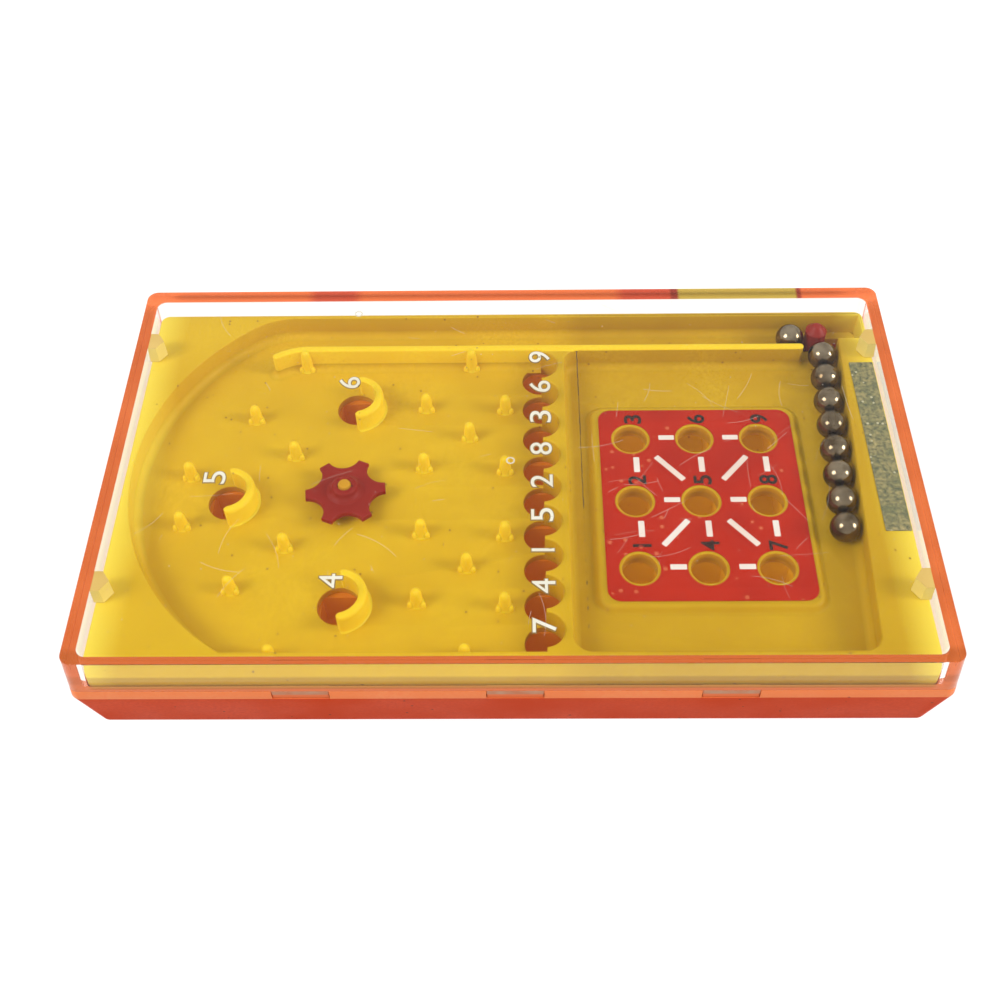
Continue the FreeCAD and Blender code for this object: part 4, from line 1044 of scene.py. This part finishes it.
# %% Numbers
LABEL_NUMBERS = {"3": (0, 0), "6": (1, 0), "9": (2, 0), "2": (0, 1), "5": (1, 1), "8": (2, 1),
                 "1": (0, 2), "4": (1, 2), "7": (2, 2)}
FIGURE_RIGHT, FIGURE_ABOVE, FIGURE_HIGH, FIGURE_WIDE = 0.55, 3.95, 2.75, 1.8


def number(text, x, y, level, height, wide, thick, bold=0.02):
    """A figure as a thin mesh, centred on a point, its top towards the left. A 9 is a 6 turned round."""
    curve = bpy.data.curves.new("number", "FONT")
    curve.body = "6" if text == "9" else text
    curve.align_x = "CENTER"
    curve.align_y = "CENTER"
    curve.size = 1.0
    curve.extrude = 0.5
    curve.offset = bold
    curve.resolution_u = 6
    mesh = mesh_of(curve)
    xs = [corner.co.x for corner in mesh.vertices]
    ys = [corner.co.y for corner in mesh.vertices]
    centre = Matrix.Translation((-(min(xs) + max(xs)) / 2, -(min(ys) + max(ys)) / 2, 0))
    tall = height / (max(ys) - min(ys))
    broad = wide / (max(xs) - min(xs)) if text != "1" else tall
    size = Matrix.Diagonal((broad * MM, tall * MM, thick * MM, 1))
    turn = Matrix.Rotation(math.radians(270 if text == "9" else 90), 4, "Z")
    mesh.transform(Matrix.Translation((x * MM, y * MM, (level + thick / 2) * MM)) @ turn @ size @ centre)
    return mesh


def make_label_numbers():
    """The nine numbers of the label, one over each hole."""
    figures = []
    for text, (column, row) in LABEL_NUMBERS.items():
        x, y = COLUMNS[column] + FIGURE_RIGHT, ROWS[row] + FIGURE_ABOVE
        level = LABEL_TOP + PRINT_THICK
        figures.append(number(text, x, y, level, FIGURE_HIGH, FIGURE_WIDE, PRINT_THICK))
    finish_mesh("label_numbers", joined(figures), PRINT_BLACK, "case")


make_label_numbers()

# %% [markdown]
# The clear cover is what makes this object hard: light goes in through the plate, bends, runs along the
# walls and brings the orange of the lip up to the rim. That needs true refraction, so the cover is a
# closed solid with real wall thickness. Rays that only carry shadow pass straight through, because
# refracted shadows would take far too many samples.

# %% Clear plastic
CLEAR_BEND = 1.49


def rays(tree, *kinds):
    """A mask that is 1 for rays of the named kinds."""
    path = node(tree, "ShaderNodeLightPath").outputs
    mask = path[f"Is {kinds[0]} Ray"]
    for kind in kinds[1:]:
        mask = maths(tree, "MAXIMUM", mask, path[f"Is {kind} Ray"])
    return mask


def make_clear():
    """Clear plastic. It reflects weakly outside and almost fully where light is caught inside it."""
    material, tree, shader = new_material("clear_plastic")
    caught = node(tree, "ShaderNodeFresnel", {"IOR": CLEAR_BEND}).outputs["Fac"]
    marks = placed(tree, SCRATCHES, Turn=0.6, Scale=900.0, Amount=0.002)
    fill(tree, shader, {
        "Base Color": (0.97, 0.97, 0.95, 1),
        "Transmission Weight": 1.0,
        "IOR": CLEAR_BEND,
        "Specular Tint": ramp(tree, caught, 0.3, 0.95, 0.15, 0.9),
        "Roughness": ramp(tree, marks["Mask"], end=0.12),
    })
    through = node(tree, "ShaderNodeBsdfTransparent", {"Color": (0.97, 0.97, 0.96, 1)}).outputs["BSDF"]
    inputs = {0: rays(tree, "Shadow", "Diffuse"), 1: shader.outputs["BSDF"], 2: through}
    mix = node(tree, "ShaderNodeMixShader", inputs)
    tree.links.new(mix.outputs["Shader"], tree.nodes["Material Output"].inputs["Surface"])
    return material


CLEAR = make_clear()
print("made", CLEAR.name)

# %% [markdown]
# The cover's foot stands in the case's lip, so it shows the case's orange. At the near wall it is darker,
# because it sits in the lip's shade, and further in it shows the deck's side in painted shade. At the far
# wall it has painted shade: redder at the openings for the tabs, darker at the notch, and olive where the
# deck's sill lies behind it. The snap tabs are grey above, partly rubbed and partly painted shade.

# %% Foot and tab finishes
FOOT_SLOT_SHADE, SHARP, SOFT = (0.74, 0.105, 0.048, 1), 0.2, 0.9
FOOT_FRONT, FOOT_SEAT_SHADE = (0.60, 0.135, 0.030, 1), ((0.42, 0.115, 0.014, 1), (0.54, 0.265, 0.030, 1))
# Bands at the far wall: a lighter orange along all of it, then painted shade, redder at the tab openings,
# darker at the notch and olive for the sill.
FOOT_BANDS = [(-59.0, 59.0, SHARP, (0.97, 0.215, 0.066, 1)), (-33.2, -25.4, SOFT, FOOT_SLOT_SHADE),
              (18.0, 27.2, SOFT, FOOT_SLOT_SHADE), (26.6, 48.3, SHARP, (0.42, 0.06, 0.035, 1)),
              (27.9, 47.5, SHARP, (0.66, 0.46, 0.08, 1))]


def coat(tree, shader, colour, roughness):
    """Writes the plain finish of a foot or a tab."""
    fill(tree, shader, {"Base Color": colour, "Roughness": roughness, "Specular IOR Level": 0.15})


def make_foot():
    """What the cover's foot shows: the case's orange, and painted shade and other tones at the near and the
    far wall.
    """
    material, tree, shader = new_material("cover_foot")
    place = node(tree, "ShaderNodeSeparateXYZ", {"Vector": spot(tree)}).outputs
    x, y = place["X"], place["Y"]
    worn = placed(tree, DRIFT, Color_A=(0.82, 0.195, 0.055, 1), Color_B=(0.72, 0.155, 0.040, 1), Scale=120.0)
    seat = mixed(tree, rise(tree, y, -34.5, -33.4), *FOOT_SEAT_SHADE)
    between = rise(tree, maths(tree, "ABSOLUTE", x), 57.2, 56.2)
    seated = maths(tree, "MULTIPLY", rise(tree, y, -34.8, -34.4), between)
    front = mixed(tree, seated, FOOT_FRONT, seat)
    colour = mixed(tree, rise(tree, y, -30, -31), worn["Color"], front)
    far = rise(tree, y, 30, 31)
    for left, right, soft, tone in FOOT_BANDS:
        begun, ended = rise(tree, x, left - soft, left + soft), rise(tree, x, right + soft, right - soft)
        band = maths(tree, "MULTIPLY", maths(tree, "MULTIPLY", begun, ended), far)
        colour = mixed(tree, band, colour, tone)
    coat(tree, shader, colour, 0.4)
    return material


def make_tab_finish():
    """The outside of a snap tab: grey above, partly rubbed and partly painted shade, the case's colour
    below.
    """
    material, tree, shader = new_material("tab_worn_shaded")
    level = node(tree, "ShaderNodeSeparateXYZ", {"Vector": spot(tree)}).outputs["Z"]
    # The grey above is rubbing and painted shade of the notch.
    worn = placed(tree, DRIFT, Color_A=(0.58, 0.32, 0.20, 1), Color_B=(0.60, 0.22, 0.11, 1), Scale=420.0)
    coat(tree, shader, mixed(tree, rise(tree, level, 9.6, 9.9), (0.84, 0.19, 0.062, 1), worn["Color"]), 0.5)
    return material


FOOT, TAB_WORN_SHADED = make_foot(), make_tab_finish()
print("made", FOOT.name, "and", TAB_WORN_SHADED.name)

# %% [markdown]
# The cover is the imported shape with small round edges. Its faces get their finish by where they are: foot,
# outside of a tab, or one of the four lugs that hold the deck down, whose faces are painted light. Thin
# pieces under its plate show the lugs' feet in painted shade, and others carry the foot's colour on through
# the tabs.

# %% Cover
COVER_FINISHES, WORN_SHADED_TAB, FOOT_TONE, LIT_LUG = (CLEAR, TAB_WORN_SHADED, FOOT, LUG_LIT), 1, 2, 3
COVER_EDGE, NEAR_TABS, FAR_TABS = 0.12, (-32.32, -3.32, 25.68), (-33.22, 16.58)
TAB_LONG, CAP_LOW, CAP_TOP, WALL_INSIDE = 7.84, 9.85, 10.68, 33.6
LUG_YS, LUG_WALL, LUG_SIDE, LUG_NOSE, LUG_HALF = (-21.25, 24.5), 57.68, 56.5, 55.4, 1.6
LUG_FROM, LUG_TO = 55.3, 57.6


def on_foot(place, normal):
    """Whether a face is on the cover's foot, without the inside of the near wall."""
    return place.z < case_high.z + 0.02 and not (place.y < -33 and normal.y > 0.6)


def on_tab(place, normal):
    """Whether a face is on the outside of a snap tab."""
    return place.z < case_high.z - 0.02 and normal.y * place.y > 0.3 * abs(place.y)


def on_lug(place, normal):
    """Whether a face is on one of the four hold-down lugs."""
    at_lug = any(abs(place.y - y) < LUG_HALF + 0.1 for y in LUG_YS)
    return at_lug and RIM_LEVEL < place.z < COVER_UNDER - 0.02 and LUG_FROM < abs(place.x) < LUG_TO


def make_cover():
    """The clear moulding, with its foot, tabs and lugs in finishes of their own."""
    mesh = softened("clear_cover", COVER_EDGE)
    cover = finish_mesh("cover_moulding", mesh, COVER_FINISHES, "case", None)
    tinted(mesh, FOOT_TONE, on_foot)
    tinted(mesh, WORN_SHADED_TAB, on_tab)
    tinted(mesh, LIT_LUG, on_lug)
    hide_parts("clear_cover")


def make_tab_caps():
    """The foot's colour goes on through the snap tabs."""
    outside = cover_high.y - 0.03
    places = [(left, -outside, -WALL_INSIDE) for left in NEAR_TABS]
    places += [(left, WALL_INSIDE, outside) for left in FAR_TABS]
    caps = [plate([rounded(left, left + TAB_LONG, near, far, 0.02)], CAP_LOW, CAP_TOP, 0.01)
            for left, near, far in places]
    finish_mesh("cover_tab_caps", joined(caps), FOOT, "case")


def make_lug_marks():
    """What shows of each hold-down lug from above: its foot on the plate, in painted shade."""
    marks = []
    level = COVER_UNDER - 0.04
    for side in (-1, 1):
        for y in LUG_YS:
            corners = [(LUG_WALL, -1), (LUG_SIDE, -1), (LUG_NOSE, 0), (LUG_SIDE, 1), (LUG_WALL, 1)]
            outline = [(side * x, y + along * LUG_HALF) for x, along in corners]
            marks.append(plate([outline[::-side]], level, level + 0.02, 0.005))
    finish_mesh("cover_lug_marks", joined(marks), LUG_SHADE, "case")


make_cover()
make_tab_caps()
make_lug_marks()

# %% [markdown]
# White numbers are painted under the cover's plate, one over each pocket and cup. Around each shows a dark
# edge, partly paint that has bled and partly a painted shadow. It is the same figure, a little wider and
# lower.

# %% Cover numbers
COVER_COLUMN_X = 4.55
COVER_COLUMN = {"9": 20.6, "6": 14.4, "3": 8.25, "8": 2.0, "2": -4.1, "5": -10.2, "1": -16.3, "4": -22.3,
                "7": -28.5}
CUP_NUMBERS = {"6": (-24.95, 15.4), "5": (-43.3, -3.2), "4": (-24.75, -21.35)}
PAINT_THICK, PAINT_LEVEL, EDGE_LEVEL = 0.06, COVER_UNDER - 0.09, COVER_UNDER - 0.17

places = [(text, COVER_COLUMN_X, y) for text, y in COVER_COLUMN.items()]
places += [(text, x, y) for text, (x, y) in CUP_NUMBERS.items()]
figures = [number(*place, PAINT_LEVEL, 3.2, 2.3, PAINT_THICK, 0.0) for place in places]
# The wider, lower figures are dark: bled paint and a painted shadow.
figures += [tinted(number(*place, EDGE_LEVEL, 3.5, 2.6, PAINT_THICK, 0.035), 1) for place in places]
finish_mesh("cover_numbers", joined(figures), (PAINT_WHITE, NUMBER_BLEED_SHADOW), "case")

# %% [markdown]
# A cover that has been in pockets for years has wear of its own: a hairline beside the pockets, two round
# marks where it left its mould, and fine pale scratches and dust. They are thin flat shapes on the plate,
# so they stay in place from every side, and a seeded draw spreads them the same way each time.

# %% Wear on the cover
HAIRLINE_X, HAIRLINE_FAR, HAIRLINE_BREAKS, HAIRLINE_NEAR = 10.45, 21.5, -9, -30
HAIRLINE_END = [(0.14, -0.01), (0.16, 0), (0.12, 0.01), (0, 0.01)]
GATES = (-24.6, 30.4), (0.0, -0.3)
GATE_SECTION = [(0.42, 0), (0.66, 0), (0.66, 0.03), (0.42, 0.03), (0.42, 0)]
SCRATCH_COUNT, SCRATCH_STEPS, DUST_COUNT, DUST_STEPS = 70, 8, 160, 7


def ribbon(points, wide, level):
    """A thin flat strip along points in millimetres."""
    half = wide / 2
    return swept(points, [(-half, 0.0), (half, 0.0), (half, 0.01), (-half, 0.01)], level)


def make_hairline():
    """A dark line along one column: whole at the far end, then broken into dots."""
    draw = random.Random(4)
    y, strips = HAIRLINE_FAR, []
    while y > HAIRLINE_NEAR:
        long = draw.uniform(1.5, 4.0) if y > HAIRLINE_BREAKS else draw.uniform(0.1, 0.6)
        gap = draw.uniform(0.05, 0.25) if y > HAIRLINE_BREAKS else draw.uniform(0.8, 3.2)
        steps = [(HAIRLINE_X + draw.uniform(-0.04, 0.04), y - long * step / 4) for step in range(5)]
        strips.append(ribbon(steps, draw.uniform(0.10, 0.16), COVER_UNDER - 0.02))
        y -= long + gap
    strips.append(turned(HAIRLINE_END, (HAIRLINE_X, HAIRLINE_FAR + 0.1, COVER_UNDER - 0.01), 12))
    finish_mesh("cover_hairline", joined(strips), DARK_WEAR, "case")


def make_gate_marks():
    """Two small rings where the plastic was cut from its mould."""
    rings = [turned(GATE_SECTION, (x, y, COVER_UNDER - 0.035), 32) for x, y in GATES]
    finish_mesh("cover_gate_marks", joined(rings), PALE_WEAR, "case")


def make_scratches():
    """Fine curved scratches and dust over the plate, most of them over the label."""
    draw = random.Random(7)
    strips = []
    for index in range(SCRATCH_COUNT):
        over_label = index % 2
        x = draw.uniform(14, 46) if over_label else draw.uniform(-54, 54)
        y = draw.uniform(-24, 14) if over_label else draw.uniform(-29, 31)
        turn, long, bend = draw.uniform(0, math.pi), draw.uniform(1.0, 7.0), draw.uniform(-0.06, 0.06)
        line = []
        for step in range(SCRATCH_STEPS + 1):
            along = (step / SCRATCH_STEPS - 0.5) * long
            heading = turn + bend * along
            line.append((x + along * math.cos(heading), y + along * math.sin(heading)))
        strips.append(ribbon(line, draw.uniform(0.012, 0.035), cover_high.z + 0.002))
    for index in range(DUST_COUNT):
        x, y, size = draw.uniform(-56, 56), draw.uniform(-32, 32), draw.uniform(0.03, 0.09)
        speck = [(size, 0), (size * 0.6, 0.012), (0, 0.015)]
        strips.append(turned(speck, (x, y, cover_high.z), DUST_STEPS))
    finish_mesh("cover_scratches", joined(strips), PALE_WEAR, "case")


make_hairline()
make_gate_marks()
make_scratches()

# %% [markdown]
# The strip label on the right rim has lost its print: grey-olive paper, mottled and scuffed.

# %% Strip label
def make_strip_paper():
    """Three layers of blotches: green-grey patches, small dark flecks and pale rubbed spots."""
    material, tree, shader = new_material("strip_grey")
    patches = placed(tree, DRIFT, Color_A=(0.42, 0.34, 0.14, 1), Color_B=(0.21, 0.20, 0.085, 1), Scale=330.0)
    flecks = placed(tree, DRIFT, Color_A=patches["Color"], Color_B=(0.08, 0.09, 0.05, 1), Scale=1500.0)
    rubbed = placed(tree, SPECKS, Scale=1300.0, Size=0.26, Amount=0.14)
    fill(tree, shader, {
        "Base Color": mixed(tree, rubbed["Mask"], flecks["Color"], (0.50, 0.46, 0.30, 1)),
        "Roughness": 0.75,
        "Normal": grain(tree, 1800.0, 0.02),
    })
    return material


strip_low, strip_high = box_mm("strip_label")
strip_outline = rounded(strip_low.x, strip_high.x, strip_low.y, strip_high.y, 0.15)
strip = finish_mesh("strip_label_paper", plate([strip_outline], strip_low.z, strip_high.z, 0.03),
                    make_strip_paper(), "case")
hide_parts("strip_label")

# %% [markdown]
# The studio: a white floor, a white surround and two soft lamps. The floor and the surround show white to
# the camera, to reflections and through the clear plastic, but light the object at a plain level.

# %% Floor and surround
FLOOR_SIZE, FLOOR_LIFT, SURROUND_LEVEL = 3000, 0.72, 0.68
WHITE = (1, 1, 1, 1)
SEEN = "Camera", "Glossy", "Transmission"


def make_floor():
    """A large white sheet under the case."""
    work = bmesh.new()
    bmesh.ops.create_grid(work, x_segments=1, y_segments=1, size=FLOOR_SIZE)
    mesh = to_mesh(work)
    floor = bpy.data.objects.new("floor", mesh)
    bpy.context.scene.collection.objects.link(floor)
    material, tree, shader = new_material("floor_white")
    fill(tree, shader, {
        "Base Color": (0.38, 0.38, 0.38, 1),
        "Roughness": 0.9,
        "Emission Color": WHITE,
        "Emission Strength": maths(tree, "MULTIPLY", rays(tree, *SEEN), FLOOR_LIFT),
    })
    mesh.materials.append(material)


def make_world():
    """The white surround."""
    world = bpy.data.worlds.new("studio")
    bpy.context.scene.world = world
    world.use_nodes = True
    tree = world.node_tree
    strength = ramp(tree, rays(tree, *SEEN), start=SURROUND_LEVEL)
    fill(tree, tree.nodes["Background"], {"Color": WHITE, "Strength": strength})


make_floor()
make_world()
print("the surround lights at", SURROUND_LEVEL)

# %% [markdown]
# Two square lamps, left and right of the case and above it, give the soft shadow and the lights on the
# rounded edges.

# %% Lamps
def make_lamp(name, place, size, power):
    """A square soft lamp that looks at the middle of the case."""
    data = bpy.data.lights.new(name, "AREA")
    data.size = size
    data.energy = power
    lamp = bpy.data.objects.new(name, data)
    lamp.location = place
    lamp.rotation_euler = (-Vector(place)).to_track_quat("-Z", "Y").to_euler()
    bpy.context.scene.collection.objects.link(lamp)
    print(name, "at", place)


make_lamp("left_lamp", (-0.62, -0.25, 0.62), 0.4, 3.9)
make_lamp("right_lamp", (0.75, -0.15, 0.45), 0.3, 3.9)

# %% [markdown]
# The camera stands where the photograph was taken: its place and its three turns were worked out from
# the corners and edges of the case.

# %% Camera
CAMERA_PLACE = (1.05, -116.28, 159.92)
PITCH, YAW, ROLL = 52.871, -1.347, -1.348
LENS, FILM_WIDE, CLIP_START = 45.085, 36.0, 0.005


def make_camera():
    """The camera of the photograph."""
    pitch, yaw, roll = (math.radians(value) for value in (PITCH, YAW, ROLL))
    forward = Vector((math.sin(yaw) * math.cos(pitch), math.cos(yaw) * math.cos(pitch), -math.sin(pitch)))
    level = Vector((math.cos(yaw), -math.sin(yaw), 0))
    raised = level.cross(forward)
    right = math.cos(roll) * level + math.sin(roll) * raised
    up = -math.sin(roll) * level + math.cos(roll) * raised
    data = bpy.data.cameras.new("camera")
    data.lens = LENS
    data.sensor_width = FILM_WIDE
    data.clip_start = CLIP_START
    camera = bpy.data.objects.new("camera", data)
    turn = Matrix((right, up, -forward)).transposed()
    camera.matrix_world = Matrix.Translation(Vector(CAMERA_PLACE) * MM) @ turn.to_4x4()
    bpy.context.scene.collection.objects.link(camera)
    bpy.context.scene.camera = camera


make_camera()
bpy.context.scene.view_settings.view_transform = "Standard"
print("the camera is", round(math.hypot(*CAMERA_PLACE)), "mm from the case")
